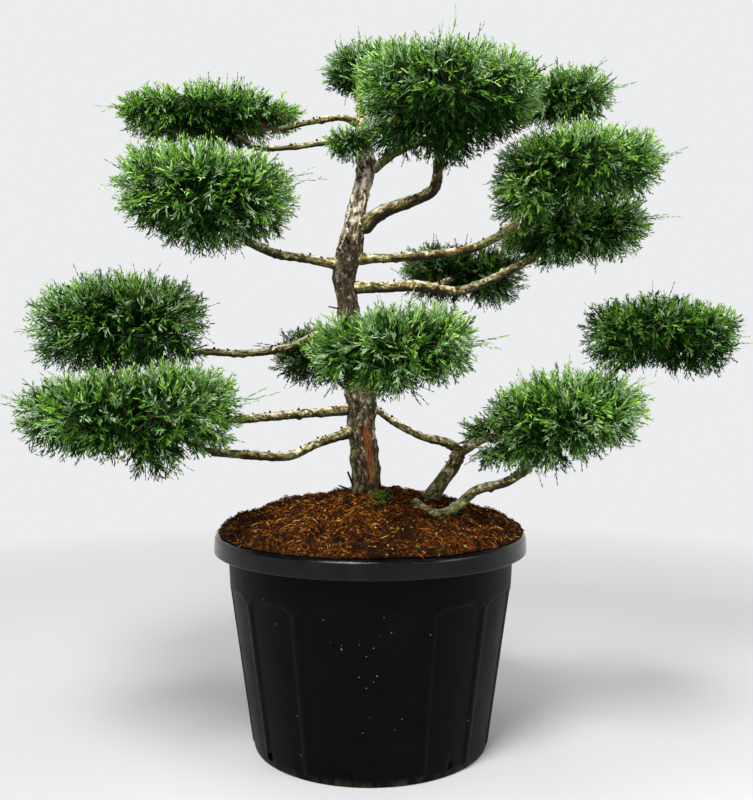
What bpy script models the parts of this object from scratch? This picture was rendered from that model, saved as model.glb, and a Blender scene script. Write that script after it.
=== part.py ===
"""Potted cloud-pruned juniper: a ribbed nursery pot, its filling, a trunk, boughs and clipped pads.

Metres, +Z up. The origin is the middle of the pot's flat underside, and the plant's front faces -Y.
"""

import math
import random

import bmesh
import bpy
import numpy as np
from mathutils import Vector

# ---------------------------------------------------------------- driving dimensions

CLEARANCE = 0.0003  # between pieces that touch

POT_HEIGHT = 0.518
POT_BASE_RADIUS = 0.2854
POT_WALL_SLOPE = 0.144  # outward lean of the ribbed wall, per metre of height
POT_WALL = 0.004
POT_FLOOR = 0.006
FOOT_FILLET = 0.005
RIB_COUNT = 14
RIB_TURN = -2.6  # degrees from the front to the nearest rib
RIB_HALF_WIDTH = 2.2  # degrees
RIB_HEIGHT = 0.004
RIB_FOOT_Z, RIB_HEAD_Z = 0.018, 0.388
SHOULDER_Z = 0.400  # where the ribbed wall meets the smooth collar
COLLAR_RADII = 0.346, 0.352
RIM_RADIUS = 0.385
RIM_DEPTH = 0.045
RIM_CORNER = 0.009
LIP_RADIUS = 0.350
INNER_SHOULDER_RADIUS = 0.340
HOLE_COUNT, HOLE_TURN, HOLE_Z, HOLE_RADIUS = 8, -7.0, 0.026, 0.009

# mound of the filling: (radius, height), out to where it lies over the rim
MOUND = [(0.0, 0.608), (0.098, 0.599), (0.182, 0.586), (0.252, 0.571), (0.308, 0.554), (0.336, 0.543),
         (0.358, 0.533), (0.373, 0.5215)]
MOUND_PEAK = (0.035, 0.010, 0.016, 0.070)  # x, y, extra height and spread of the highest heap
MOUND_SEGMENTS = 30
GROUND_Z = 0.600  # flat seats that the trunk and the side stem stand on

TRUNK_SIDES, LIMB_SIDES, STEM_SIDES = 12, 7, 6
TRUNK_STEP, LIMB_STEP = 0.060, 0.070  # length of tube between two rings

# limbs: centreline points as (x, y, z, radius)
TRUNK = [
    (-0.010, 0.000, GROUND_Z, 0.0405), (-0.011, 0.000, 0.640, 0.0360), (-0.017, -0.002, 0.725, 0.0335),
    (-0.023, -0.004, 0.775, 0.0345), (-0.023, -0.006, 0.820, 0.0360), (-0.028, -0.006, 0.860, 0.0365),
    (-0.045, -0.004, 0.975, 0.0310), (-0.057, 0.000, 1.070, 0.0275), (-0.066, 0.002, 1.150, 0.0285),
    (-0.053, 0.004, 1.210, 0.0310), (-0.036, 0.006, 1.310, 0.0230), (-0.017, 0.008, 1.385, 0.0220),
    (-0.011, 0.008, 1.425, 0.0225), (-0.019, 0.007, 1.470, 0.0190), (-0.020, 0.006, 1.540, 0.0165),
]
SIDE_STEM = [
    (0.147, 0.030, 0.587, 0.0200), (0.179, 0.030, 0.634, 0.0188), (0.206, 0.030, 0.672, 0.0182),
    (0.230, 0.030, 0.722, 0.0175),
]

# bough name: (what its root is cut clear of, the pad it carries, its centreline)
BOUGHS = {
    "bough_left_high_rear_top": ("trunk", "pad_left_high_rear", [
        (-0.018, 0.006, 1.522, 0.0080), (-0.070, 0.012, 1.546, 0.0075), (-0.135, 0.040, 1.546, 0.0070),
        (-0.225, 0.090, 1.537, 0.0065)]),
    "bough_left_high_rear_low": ("trunk", None, [
        (-0.014, 0.008, 1.470, 0.0080), (-0.060, 0.012, 1.484, 0.0070), (-0.115, 0.020, 1.486, 0.0065),
        (-0.205, 0.060, 1.483, 0.0062), (-0.300, 0.105, 1.494, 0.0060), (-0.340, 0.118, 1.520, 0.0058)]),
    "bough_left_high_front": ("trunk", "pad_left_high_front", [
        (-0.060, 0.002, 1.178, 0.0130), (-0.110, -0.012, 1.182, 0.0118), (-0.165, -0.030, 1.190, 0.0110),
        (-0.230, -0.070, 1.196, 0.0105), (-0.285, -0.100, 1.207, 0.0095)]),
    "bough_left_middle": ("trunk", "pad_left_middle", [
        (-0.052, -0.002, 1.020, 0.0118), (-0.110, -0.008, 1.010, 0.0098), (-0.160, -0.012, 0.990, 0.0090),
        (-0.235, -0.012, 0.965, 0.0088), (-0.325, 0.000, 0.956, 0.0085), (-0.420, 0.000, 0.958, 0.0078)]),
    "bough_left_low_top": ("trunk", "pad_left_low", [
        (-0.030, -0.006, 0.825, 0.0120), (-0.090, -0.020, 0.812, 0.0110), (-0.145, -0.050, 0.810, 0.0105),
        (-0.225, -0.120, 0.805, 0.0100), (-0.295, -0.200, 0.800, 0.0092)]),
    "bough_left_low_bottom": ("trunk", None, [
        (-0.026, -0.006, 0.772, 0.0130), (-0.082, -0.030, 0.752, 0.0115), (-0.140, -0.080, 0.733, 0.0108),
        (-0.195, -0.130, 0.712, 0.0106), (-0.290, -0.200, 0.722, 0.0098), (-0.345, -0.232, 0.726, 0.0088)]),
    "bough_right_high_front": ("trunk", "pad_right_high_front", [
        (-0.056, 0.004, 1.190, 0.0135), (0.000, -0.002, 1.192, 0.0120), (0.075, -0.012, 1.194, 0.0112),
        (0.175, -0.040, 1.200, 0.0108), (0.240, -0.078, 1.206, 0.0106), (0.295, -0.122, 1.226, 0.0102),
        (0.345, -0.140, 1.262, 0.0095)]),
    "bough_right_high_rear": ("trunk", "pad_right_high_rear", [
        (-0.062, 0.002, 1.121, 0.0150), (0.010, 0.004, 1.121, 0.0144), (0.095, 0.010, 1.125, 0.0140),
        (0.135, 0.018, 1.124, 0.0150), (0.165, 0.022, 1.119, 0.0122), (0.225, 0.032, 1.115, 0.0112),
        (0.300, 0.050, 1.143, 0.0104), (0.385, 0.078, 1.180, 0.0100)]),
    "bough_centre_rear": ("bough_right_high_rear", "pad_centre_rear", [
        (0.136, 0.018, 1.124, 0.0098), (0.150, 0.075, 1.128, 0.0092), (0.170, 0.130, 1.136, 0.0088),
        (0.195, 0.200, 1.148, 0.0084)]),
    "bough_crown_rear_right": ("trunk", "pad_crown_rear_right", [
        (-0.012, 0.008, 1.405, 0.0120), (0.020, 0.020, 1.430, 0.0108), (0.055, 0.050, 1.463, 0.0102),
        (0.120, 0.140, 1.515, 0.0096), (0.240, 0.200, 1.580, 0.0090), (0.380, 0.240, 1.650, 0.0082)]),
    "bough_crown_rear_left": ("trunk bough_left_high_rear_top", "pad_crown_rear_left", [
        (-0.020, 0.006, 1.526, 0.0105), (-0.024, 0.045, 1.562, 0.0098), (-0.030, 0.090, 1.608, 0.0092),
        (-0.036, 0.150, 1.668, 0.0085)]),
    "bough_centre_front": ("trunk", "pad_centre_front", [
        (-0.040, -0.004, 0.935, 0.0120), (-0.022, -0.070, 0.946, 0.0108), (0.006, -0.130, 0.956, 0.0100),
        (0.030, -0.190, 0.962, 0.0094)]),
    "bough_centre_left_rear": ("side_stem", "pad_centre_left_rear", [
        (0.227, 0.030, 0.710, 0.0118), (0.194, 0.038, 0.731, 0.0108), (0.140, 0.050, 0.743, 0.0098),
        (0.080, 0.070, 0.769, 0.0088), (0.020, 0.090, 0.808, 0.0080), (-0.040, 0.112, 0.852, 0.0072),
        (-0.100, 0.140, 0.890, 0.0068)]),
    "bough_right_far": ("side_stem bough_centre_left_rear", "pad_right_far", [
        (0.228, 0.030, 0.706, 0.0125), (0.256, 0.040, 0.727, 0.0122), (0.301, 0.062, 0.746, 0.0118),
        (0.440, 0.105, 0.786, 0.0102), (0.560, 0.118, 0.840, 0.0096), (0.630, 0.112, 0.905, 0.0088)]),
    "bough_right_low": ("", "pad_right_low", [
        (0.106, -0.078, 0.596, 0.0115), (0.129, -0.125, 0.585, 0.0112), (0.160, -0.162, 0.581, 0.0110),
        (0.200, -0.170, 0.600, 0.0108), (0.237, -0.170, 0.632, 0.0107), (0.264, -0.171, 0.643, 0.0106),
        (0.312, -0.176, 0.656, 0.0102), (0.360, -0.180, 0.677, 0.0094)]),
}
# the crown bough turns sharply upwards, so it is two lengths that meet at the bend
CROWN_LOWER = [
    (-0.038, 0.010, 1.254, 0.0185), (0.003, -0.002, 1.290, 0.0178), (0.040, -0.016, 1.311, 0.0155),
    (0.110, -0.048, 1.330, 0.0138), (0.147, -0.070, 1.345, 0.0134),
]
CROWN_UPPER = [(0.159, -0.082, 1.368, 0.0124), (0.161, -0.095, 1.394, 0.0120)]
# the small pad in front of the trunk's top grows straight from the trunk
SMALL_PAD_STEM = [
    (-0.017, 0.007, 1.476, 0.0060), (-0.030, -0.035, 1.472, 0.0055), (-0.050, -0.080, 1.464, 0.0035),
]

# pads: lobes as (x, y, z, half width, half depth, height above, height below)
PADS = {
    "pad_left_high_rear": [
        (-0.530, 0.130, 1.586, 0.140, 0.180, 0.063, 0.075),
        (-0.385, 0.150, 1.592, 0.155, 0.200, 0.074, 0.080),
        (-0.250, 0.130, 1.588, 0.080, 0.120, 0.045, 0.060)],
    "pad_left_high_front": [
        (-0.470, -0.150, 1.337, 0.125, 0.180, 0.108, 0.120),
        (-0.300, -0.130, 1.324, 0.134, 0.180, 0.111, 0.120),
        (-0.385, -0.160, 1.322, 0.140, 0.220, 0.123, 0.143)],
    "pad_left_middle": [
        (-0.727, 0.030, 1.040, 0.135, 0.170, 0.103, 0.146),
        (-0.542, -0.020, 1.044, 0.145, 0.180, 0.113, 0.142),
        (-0.642, 0.010, 1.052, 0.145, 0.200, 0.115, 0.156),
        (-0.470, -0.020, 0.966, 0.062, 0.120, 0.045, 0.045),
        (-0.788, 0.030, 0.966, 0.058, 0.110, 0.045, 0.045)],
    "pad_left_low": [
        (-0.668, -0.240, 0.822, 0.120, 0.170, 0.088, 0.103),
        (-0.428, -0.270, 0.832, 0.152, 0.190, 0.108, 0.115),
        (-0.565, -0.300, 0.828, 0.150, 0.210, 0.098, 0.113),
        (-0.474, -0.270, 0.760, 0.088, 0.120, 0.065, 0.087),
        (-0.375, -0.260, 0.775, 0.085, 0.120, 0.055, 0.060)],
    "pad_crown_front": [
        (0.080, -0.120, 1.570, 0.125, 0.200, 0.117, 0.125),
        (0.272, -0.140, 1.572, 0.140, 0.200, 0.082, 0.140),
        (0.175, -0.160, 1.572, 0.150, 0.240, 0.092, 0.160),
        (0.185, -0.140, 1.465, 0.095, 0.150, 0.070, 0.075),
        (0.062, -0.150, 1.480, 0.088, 0.120, 0.060, 0.082),
        (-0.004, -0.070, 1.612, 0.050, 0.100, 0.062, 0.048)],
    "pad_crown_left_small": [
        (-0.055, -0.085, 1.460, 0.064, 0.066, 0.044, 0.050),
        (-0.008, -0.092, 1.470, 0.052, 0.056, 0.046, 0.044)],
    "pad_crown_rear_left": [
        (-0.046, 0.240, 1.724, 0.094, 0.130, 0.095, 0.058),
        (0.020, 0.250, 1.740, 0.105, 0.120, 0.090, 0.075)],
    "pad_crown_rear_right": [
        (0.547, 0.250, 1.668, 0.128, 0.150, 0.083, 0.085),
        (0.478, 0.250, 1.659, 0.095, 0.130, 0.078, 0.075)],
    "pad_right_high_front": [
        (0.415, -0.090, 1.396, 0.130, 0.190, 0.099, 0.110),
        (0.576, -0.080, 1.408, 0.130, 0.190, 0.087, 0.098),
        (0.485, -0.120, 1.404, 0.140, 0.220, 0.087, 0.108),
        (0.362, -0.125, 1.322, 0.086, 0.135, 0.088, 0.078)],
    "pad_right_high_rear": [
        (0.475, 0.100, 1.285, 0.125, 0.170, 0.112, 0.111),
        (0.612, 0.130, 1.288, 0.120, 0.170, 0.112, 0.096),
        (0.400, 0.090, 1.255, 0.080, 0.130, 0.050, 0.055)],
    "pad_centre_rear": [
        (0.207, 0.360, 1.207, 0.136, 0.150, 0.082, 0.108),
        (0.345, 0.330, 1.193, 0.102, 0.150, 0.082, 0.108)],
    "pad_right_far": [
        (0.646, 0.080, 1.018, 0.105, 0.160, 0.086, 0.120),
        (0.832, 0.120, 1.013, 0.130, 0.170, 0.090, 0.124),
        (0.735, 0.090, 1.033, 0.135, 0.190, 0.086, 0.106)],
    "pad_right_low": [
        (0.370, -0.190, 0.790, 0.120, 0.170, 0.106, 0.118),
        (0.510, -0.180, 0.820, 0.120, 0.180, 0.105, 0.100),
        (0.435, -0.220, 0.815, 0.120, 0.200, 0.110, 0.115),
        (0.276, -0.150, 0.772, 0.078, 0.090, 0.050, 0.050),
        (0.300, -0.170, 0.722, 0.072, 0.105, 0.045, 0.046)],
    "pad_centre_front": [
        (-0.053, -0.290, 0.960, 0.097, 0.130, 0.085, 0.096),
        (0.126, -0.315, 0.968, 0.112, 0.160, 0.102, 0.100),
        (0.045, -0.340, 0.963, 0.115, 0.170, 0.098, 0.117)],
    "pad_centre_left_rear": [
        (-0.172, 0.170, 0.950, 0.098, 0.110, 0.092, 0.086),
        (-0.110, 0.170, 0.955, 0.070, 0.090, 0.070, 0.070)],
}
# long shoots that stand out of a pad: (direction, length beyond the pad)
SPRIGS = {
    "pad_left_high_rear": [((-1.0, -0.1, 0.05), 0.055)],
    "pad_left_high_front": [((1.0, -0.1, 0.12), 0.075), ((-1.0, 0.1, 0.10), 0.060)],
    "pad_left_middle": [((-1.0, 0.1, -0.12), 0.050)],
    "pad_left_low": [((-1.0, -0.1, 0.10), 0.045), ((1.0, 0.0, 0.10), 0.080)],
    "pad_crown_front": [((0.20, 0.0, 1.0), 0.080)],
    "pad_crown_rear_right": [((1.0, 0.0, 0.18), 0.070)],
    "pad_right_high_front": [((1.0, 0.0, 0.12), 0.060)],
    "pad_right_high_rear": [((1.0, 0.0, 0.14), 0.075)],
    "pad_right_far": [((1.0, 0.1, 0.10), 0.045)],
    "pad_right_low": [((1.0, 0.1, 0.38), 0.045)],
    "pad_centre_front": [((1.0, 0.0, 0.05), 0.060)],
    "pad_centre_left_rear": [((-1.0, 0.0, 0.25), 0.050)],
}

LOBE_POWER = 2.3  # 2 is an ellipsoid; more is boxier
SEED = 40
RAY_START, RAY_END, RAY_STEP = 0.020, 0.450, 0.002  # how an outline is searched for from a heart
SITE_CANDIDATES = 900
LEAST_LEAN = 0.3  # of the outline to its ray, when its area is added up
CORE_INSET = 0.028  # how far a pad's core lies below its clipped outline
CORE_LEAST_SHARE = 0.60
CORE_SEGMENTS, CORE_RINGS = 12, 7
SPRAY_SHOWN = 0.040  # length of spray that stands out of the core
SPRAY_AREA = 0.0243  # square metres of outline to each spray
SPRAY_LENGTH, SPRAY_WIDTH, SPRAY_THICKNESS = 0.095, 0.082, 0.0036
SPRIG_BLADE_SCALE = 0.55
SPRIG_RADIUS = 0.0035
SPRAY_SCALES = 0.88, 1.12
TIP_BEYOND = -0.004, 0.012  # how far a spray's tip stands beyond the outline
OUTWARD_SHARE, WANDER_SHARE = 0.70, 0.28  # of a spray's direction, beside the outline's normal
HALF_SHARE = 0.30  # of a spray's width, kept free round its midrib
SUNK_SHARE = 0.22  # of a spray's length that its twig runs into
TWIG_RADIUS = 0.0036
TWIGS_PER_FORK = 4  # sprays reached from one main twig
FORK_SHARE = 0.50  # of the way to the core's surface
SPRIG_TEETH = (0.35, 0.62, 1.0)  # where a sprig's blades end, along its free length
SPRIG_SPREAD = 0.55
STEM_STANDOFF = 0.008  # a bough ends this far outside the core
STEM_TAPER = 0.6
SPRAY_KEEP_OFF = 0.004  # least space between a spray and a limb or another pad
NEIGHBOUR_DISTANCE = 0.45  # between the hearts of pads that share their space
NEAR_PAD = 0.080  # limbs that pass a core closer than this are cut clear of the pad

# half outline of a spray: (share of length from root to tip, share of half width)
SPRAY_OUTLINE = [(0.0, 0.20), (0.66, 1.0), (0.70, 0.50), (1.0, 0.0)]
SPRAY_HUB = 0.58

PLASTIC = ("pot_plastic", (0.012, 0.012, 0.013), 0.35)
COIR = ("coir", (0.150, 0.055, 0.022), 0.95)
BARK = ("bark", (0.190, 0.125, 0.075), 0.85)
NEEDLES = ("needles", (0.060, 0.135, 0.050), 0.70)


# ---------------------------------------------------------------- building blocks

def material(finish):
    """Principled material from (name, base colour, roughness)."""
    name, colour, roughness = finish
    found = bpy.data.materials.get(name)
    if found:
        return found
    made = bpy.data.materials.new(name)
    made.use_nodes = True
    shader = made.node_tree.nodes["Principled BSDF"]
    shader.inputs["Base Color"].default_value = (*colour, 1.0)
    shader.inputs["Roughness"].default_value = roughness
    shader.inputs["Metallic"].default_value = 0.0
    return made


def add_object(name, verts, faces, finish):
    """Closed mesh object with outward faces."""
    mesh = bpy.data.meshes.new(name)
    mesh.from_pydata([tuple(v) for v in verts], [], faces)
    shape = bmesh.new()
    shape.from_mesh(mesh)
    bmesh.ops.recalc_face_normals(shape, faces=shape.faces)
    shape.to_mesh(mesh)
    shape.free()
    mesh.materials.append(material(finish))
    made = bpy.data.objects.new(name, mesh)
    bpy.context.collection.objects.link(made)
    return made


def banded(bands, count):
    """Quads that join closed rings of count corners, one band after another."""
    faces = []
    for start in range(0, bands * count, count):
        for i in range(count):
            a, b = start + i, start + (i + 1) % count
            faces.append((a, b, b + count, a + count))
    return faces


def remove(shape):
    mesh = shape.data
    bpy.data.objects.remove(shape)
    bpy.data.meshes.remove(mesh)


def apply_modifiers(shape):
    """Replace the object's mesh by what its modifiers make of it."""
    graph = bpy.context.evaluated_depsgraph_get()
    made = bpy.data.meshes.new_from_object(shape.evaluated_get(graph))
    old = shape.data
    shape.modifiers.clear()
    shape.data = made
    made.name = shape.name
    bpy.data.meshes.remove(old)


def cut_away(shape, cutter):
    """Subtract the cutter, then delete it."""
    cutter.hide_render = True
    cutter.display_type = "WIRE"
    boolean = shape.modifiers.new("cut", "BOOLEAN")
    boolean.operation = "DIFFERENCE"
    boolean.solver = "EXACT"
    boolean.object = cutter
    apply_modifiers(shape)
    remove(cutter)


def fuse(shape, others, solver):
    """Union of the object with a list of closed objects, which are then deleted."""
    group = bpy.data.collections.new(shape.name + "_parts")
    bpy.context.scene.collection.children.link(group)
    for other in others:
        bpy.context.collection.objects.unlink(other)
        group.objects.link(other)
    boolean = shape.modifiers.new("fuse", "BOOLEAN")
    boolean.operation = "UNION"
    boolean.solver = solver
    boolean.operand_type = "COLLECTION"
    boolean.collection = group
    apply_modifiers(shape)
    for other in others:
        remove(other)
    bpy.data.collections.remove(group)


def keep_outer_body(shape):
    """Fill hollows sealed by fusing and drop loose scraps: only the largest closed surface stays."""
    body = bmesh.new()
    body.from_mesh(shape.data)
    bmesh.ops.triangulate(body, faces=body.faces)
    waiting = set(body.faces)
    shells = []
    while waiting:
        shell, front = [], [waiting.pop()]
        while front:
            face = front.pop()
            shell.append(face)
            for edge in face.edges:
                for near in edge.link_faces:
                    if near in waiting:
                        waiting.remove(near)
                        front.append(near)
        shells.append(shell)

    def volume(shell):
        corners = [[v.co for v in face.verts] for face in shell]
        return sum(a.dot(b.cross(c)) for a, b, c in corners) / 6

    shells.sort(key=volume)
    bmesh.ops.delete(body, geom=[f for shell in shells[:-1] for f in shell], context="FACES")
    body.to_mesh(shape.data)
    body.free()


# ---------------------------------------------------------------- limbs

def smooth_route(points, step, first_up=False):
    """Stations (point, tangent, radius) along a smooth curve through (x, y, z, radius) points."""
    knots = np.array(points, float)
    padded = np.vstack([2 * knots[0] - knots[1], knots, 2 * knots[-1] - knots[-2]])
    curve = [knots[0]]
    for a, b, c, d in zip(padded, padded[1:], padded[2:], padded[3:]):
        count = max(1, round(float(np.linalg.norm((c - b)[:3])) / step))
        for t in np.arange(1, count + 1) / count:
            curve.append(0.5 * (2 * b + (c - a) * t + (2 * a - 5 * b + 4 * c - d) * t**2
                                + (3 * b - a - 3 * c + d) * t**3))
    curve = np.array(curve)
    tangents = np.gradient(curve[:, :3], axis=0)
    tangents /= np.linalg.norm(tangents, axis=1)[:, None]
    if first_up:
        tangents[0] = (0, 0, 1)
    return [(Vector(c[:3]), Vector(t), float(c[3])) for c, t in zip(curve, tangents)]


def tube(name, route, sides, finish, grow=0.0):
    """Closed tube along the stations; grow widens it all round and starts it sooner."""
    side = route[0][1].orthogonal().normalized()
    start = route[0][0] - route[0][1] * grow
    verts = []
    for point, tangent, radius in [(start, *route[0][1:])] + route[1:]:
        side = (side - tangent * side.dot(tangent)).normalized()
        across = tangent.cross(side)
        for i in range(sides):
            turn = math.tau * i / sides
            verts.append(point + (side * math.cos(turn) + across * math.sin(turn)) * (radius + grow))
    faces = banded(len(route) - 1, sides)
    faces.append(tuple(range(sides)))
    faces.append(tuple(range(len(verts) - sides, len(verts))))
    return add_object(name, verts, faces, finish)


def lengthened(route):
    """The stations with the far end moved out by the clearance."""
    return route[:-1] + [continue_from(route[-1])]


def limb_sides(name):
    return TRUNK_SIDES if name == "trunk" else LIMB_SIDES


def continue_from(station):
    """The station that a length butted onto this one starts at."""
    point, tangent, radius = station
    return point + tangent * CLEARANCE, tangent, radius


# ---------------------------------------------------------------- pads

class Pad:
    """The clipped outline of a mass of foliage: lobes seen from one heart, cut off at its neighbours."""

    def __init__(self, lobes):
        self.lobes = np.array(lobes, float)
        size = self.lobes[:, 3] * self.lobes[:, 4] * (self.lobes[:, 5] + self.lobes[:, 6])
        self.heart = (self.lobes[:, :3] * size[:, None]).sum(axis=0) / size.sum()
        self.neighbours = []

    def depth(self, points):
        """How far inside the lobes each point lies: under 1 is inside."""
        values = []
        for x, y, z, wide, deep, above, below in self.lobes:
            offset = points - np.array([x, y, z])
            tall = np.where(offset[..., 2] > 0, above, below)
            half_sizes = np.stack([np.full_like(tall, wide), np.full_like(tall, deep), tall], axis=-1)
            values.append(((np.abs(offset) / half_sizes) ** LOBE_POWER).sum(axis=-1) ** (1 / LOBE_POWER))
        return np.min(values, axis=0)

    def reach(self, directions):
        """Distance from the heart to the outline along unit directions."""
        steps = np.arange(RAY_START, RAY_END, RAY_STEP)
        rays = self.heart + directions[..., None, :] * steps[:, None]
        depth = self.depth(rays)
        inside = depth <= 1.0
        for other in self.neighbours:
            inside &= depth < other.depth(rays)
        last = steps.size - 1 - np.argmax(inside[..., ::-1], axis=-1)
        return steps[last]

    def core_reach(self, directions):
        outline = self.reach(directions)
        return np.maximum(outline - CORE_INSET, outline * CORE_LEAST_SHARE)

    def outward(self, points):
        """Unit normals of the outline near the points."""
        slope = np.stack([self.depth(points + axis * RAY_STEP) - self.depth(points - axis * RAY_STEP)
                          for axis in np.eye(3)], axis=-1)
        return slope / np.linalg.norm(slope, axis=-1, keepdims=True)

    def holds(self, points, spare=0.0):
        """Whether each point lies in the core, or within the spare distance of it."""
        offset = points - self.heart
        distance = np.linalg.norm(offset, axis=-1)
        return distance < self.core_reach(offset / distance[..., None]) + spare

    def sites(self):
        """Evenly spread points of the outline, and the direction of each from the heart."""
        index = np.arange(SITE_CANDIDATES) + 0.5
        rise = 1 - 2 * index / SITE_CANDIDATES
        turn = index * math.pi * (3 - math.sqrt(5))
        flat = np.sqrt(1 - rise**2)
        directions = np.stack([flat * np.cos(turn), flat * np.sin(turn), rise], axis=-1)
        reach = self.reach(directions)
        points = self.heart + directions * reach[:, None]
        lean = (directions * self.outward(points)).sum(axis=-1).clip(LEAST_LEAN)
        area = (4 * math.pi / SITE_CANDIDATES * reach**2 / lean).sum()
        chosen = [0]
        apart = np.linalg.norm(points - points[0], axis=-1)
        while len(chosen) < round(area / SPRAY_AREA):
            chosen.append(int(np.argmax(apart)))
            apart = np.minimum(apart, np.linalg.norm(points - points[chosen[-1]], axis=-1))
        return points[chosen], directions[chosen]


def core(name, pad):
    """The dense inside of a pad, as a closed grid round its heart."""
    directions = [(0.0, 0.0, 1.0)]
    for ring in range(1, CORE_RINGS):
        tilt = math.pi * ring / CORE_RINGS
        for i in range(CORE_SEGMENTS):
            turn = math.tau * (i + 0.5 * (ring % 2)) / CORE_SEGMENTS
            flat = math.sin(tilt)
            directions.append((flat * math.cos(turn), flat * math.sin(turn), math.cos(tilt)))
    directions.append((0.0, 0.0, -1.0))
    directions = np.array(directions)
    verts = pad.heart + directions * pad.core_reach(directions)[:, None]
    faces = []
    last = len(directions) - 1
    for i in range(CORE_SEGMENTS):
        after = (i + 1) % CORE_SEGMENTS
        faces.append((0, 1 + i, 1 + after))
        faces.append((last, last - CORE_SEGMENTS + after, last - CORE_SEGMENTS + i))
        for ring in range(CORE_RINGS - 2):
            a = 1 + ring * CORE_SEGMENTS
            b = a + CORE_SEGMENTS
            if ring % 2:
                faces += [(a + i, b + i, a + after), (a + after, b + i, b + after)]
            else:
                faces += [(a + i, b + i, b + after), (a + i, b + after, a + after)]
    return add_object(name, verts, faces, NEEDLES)


def blade(name, root, growth, face, scale):
    """One spray of needles: a toothed blade, thickest at its hub."""
    growth = growth.normalized()
    across = growth.cross(face).normalized()
    face = across.cross(growth)
    length, half = SPRAY_LENGTH * scale, SPRAY_WIDTH * scale / 2
    right = [root + growth * (length * u) + across * (half * v) for u, v in SPRAY_OUTLINE]
    left = [root + growth * (length * u) - across * (half * v) for u, v in SPRAY_OUTLINE[:-1]]
    rim = right + left[::-1]
    hub = root + growth * (length * SPRAY_HUB)
    verts = rim + [hub + face * SPRAY_THICKNESS * scale, hub - face * SPRAY_THICKNESS * scale]
    faces = []
    for i in range(len(rim)):
        after = (i + 1) % len(rim)
        faces += [(i, after, len(rim)), (after, i, len(rim) + 1)]
    return add_object(name, verts, faces, NEEDLES)


def twig(name, start, end, radius):
    """A three-sided twig that tapers to half its radius."""
    along = (end - start).normalized()
    return tube(name, [(start, along, radius), (end, along, radius / 2)], 3, NEEDLES)


def segment_gap(a, b, starts, ends):
    """Least distance from the segment ab to each of the segments, sampled along ab."""
    samples = np.array([a + (b - a) * t for t in np.linspace(0, 1, 7)])[:, None, :]
    run = ends - starts
    share = ((samples - starts) * run).sum(axis=-1) / (run * run).sum(axis=-1)
    near = starts + run * share.clip(0, 1)[..., None]
    return np.linalg.norm(samples - near, axis=-1).min(axis=0)


class Space:
    """What the sprays have to keep clear of."""

    def __init__(self):
        self.starts, self.ends, self.radii, self.owners = [], [], [], []

    def add(self, start, end, radius, owner):
        self.starts.append(np.array(start))
        self.ends.append(np.array(end))
        self.radii.append(radius)
        self.owners.append(owner)

    def free(self, start, end, radius, owner, pads):
        start, end = np.array(start), np.array(end)
        others = np.array([o != owner for o in self.owners])
        gaps = segment_gap(start, end, np.array(self.starts)[others], np.array(self.ends)[others])
        if (gaps < np.array(self.radii)[others] + radius + SPRAY_KEEP_OFF).any():
            return False
        samples = np.array([start + (end - start) * t for t in np.linspace(0, 1, 5)])
        keep_off = radius + SPRAY_KEEP_OFF
        return not any(pad.holds(samples, keep_off).any() for key, pad in pads.items() if key != owner)


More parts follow.
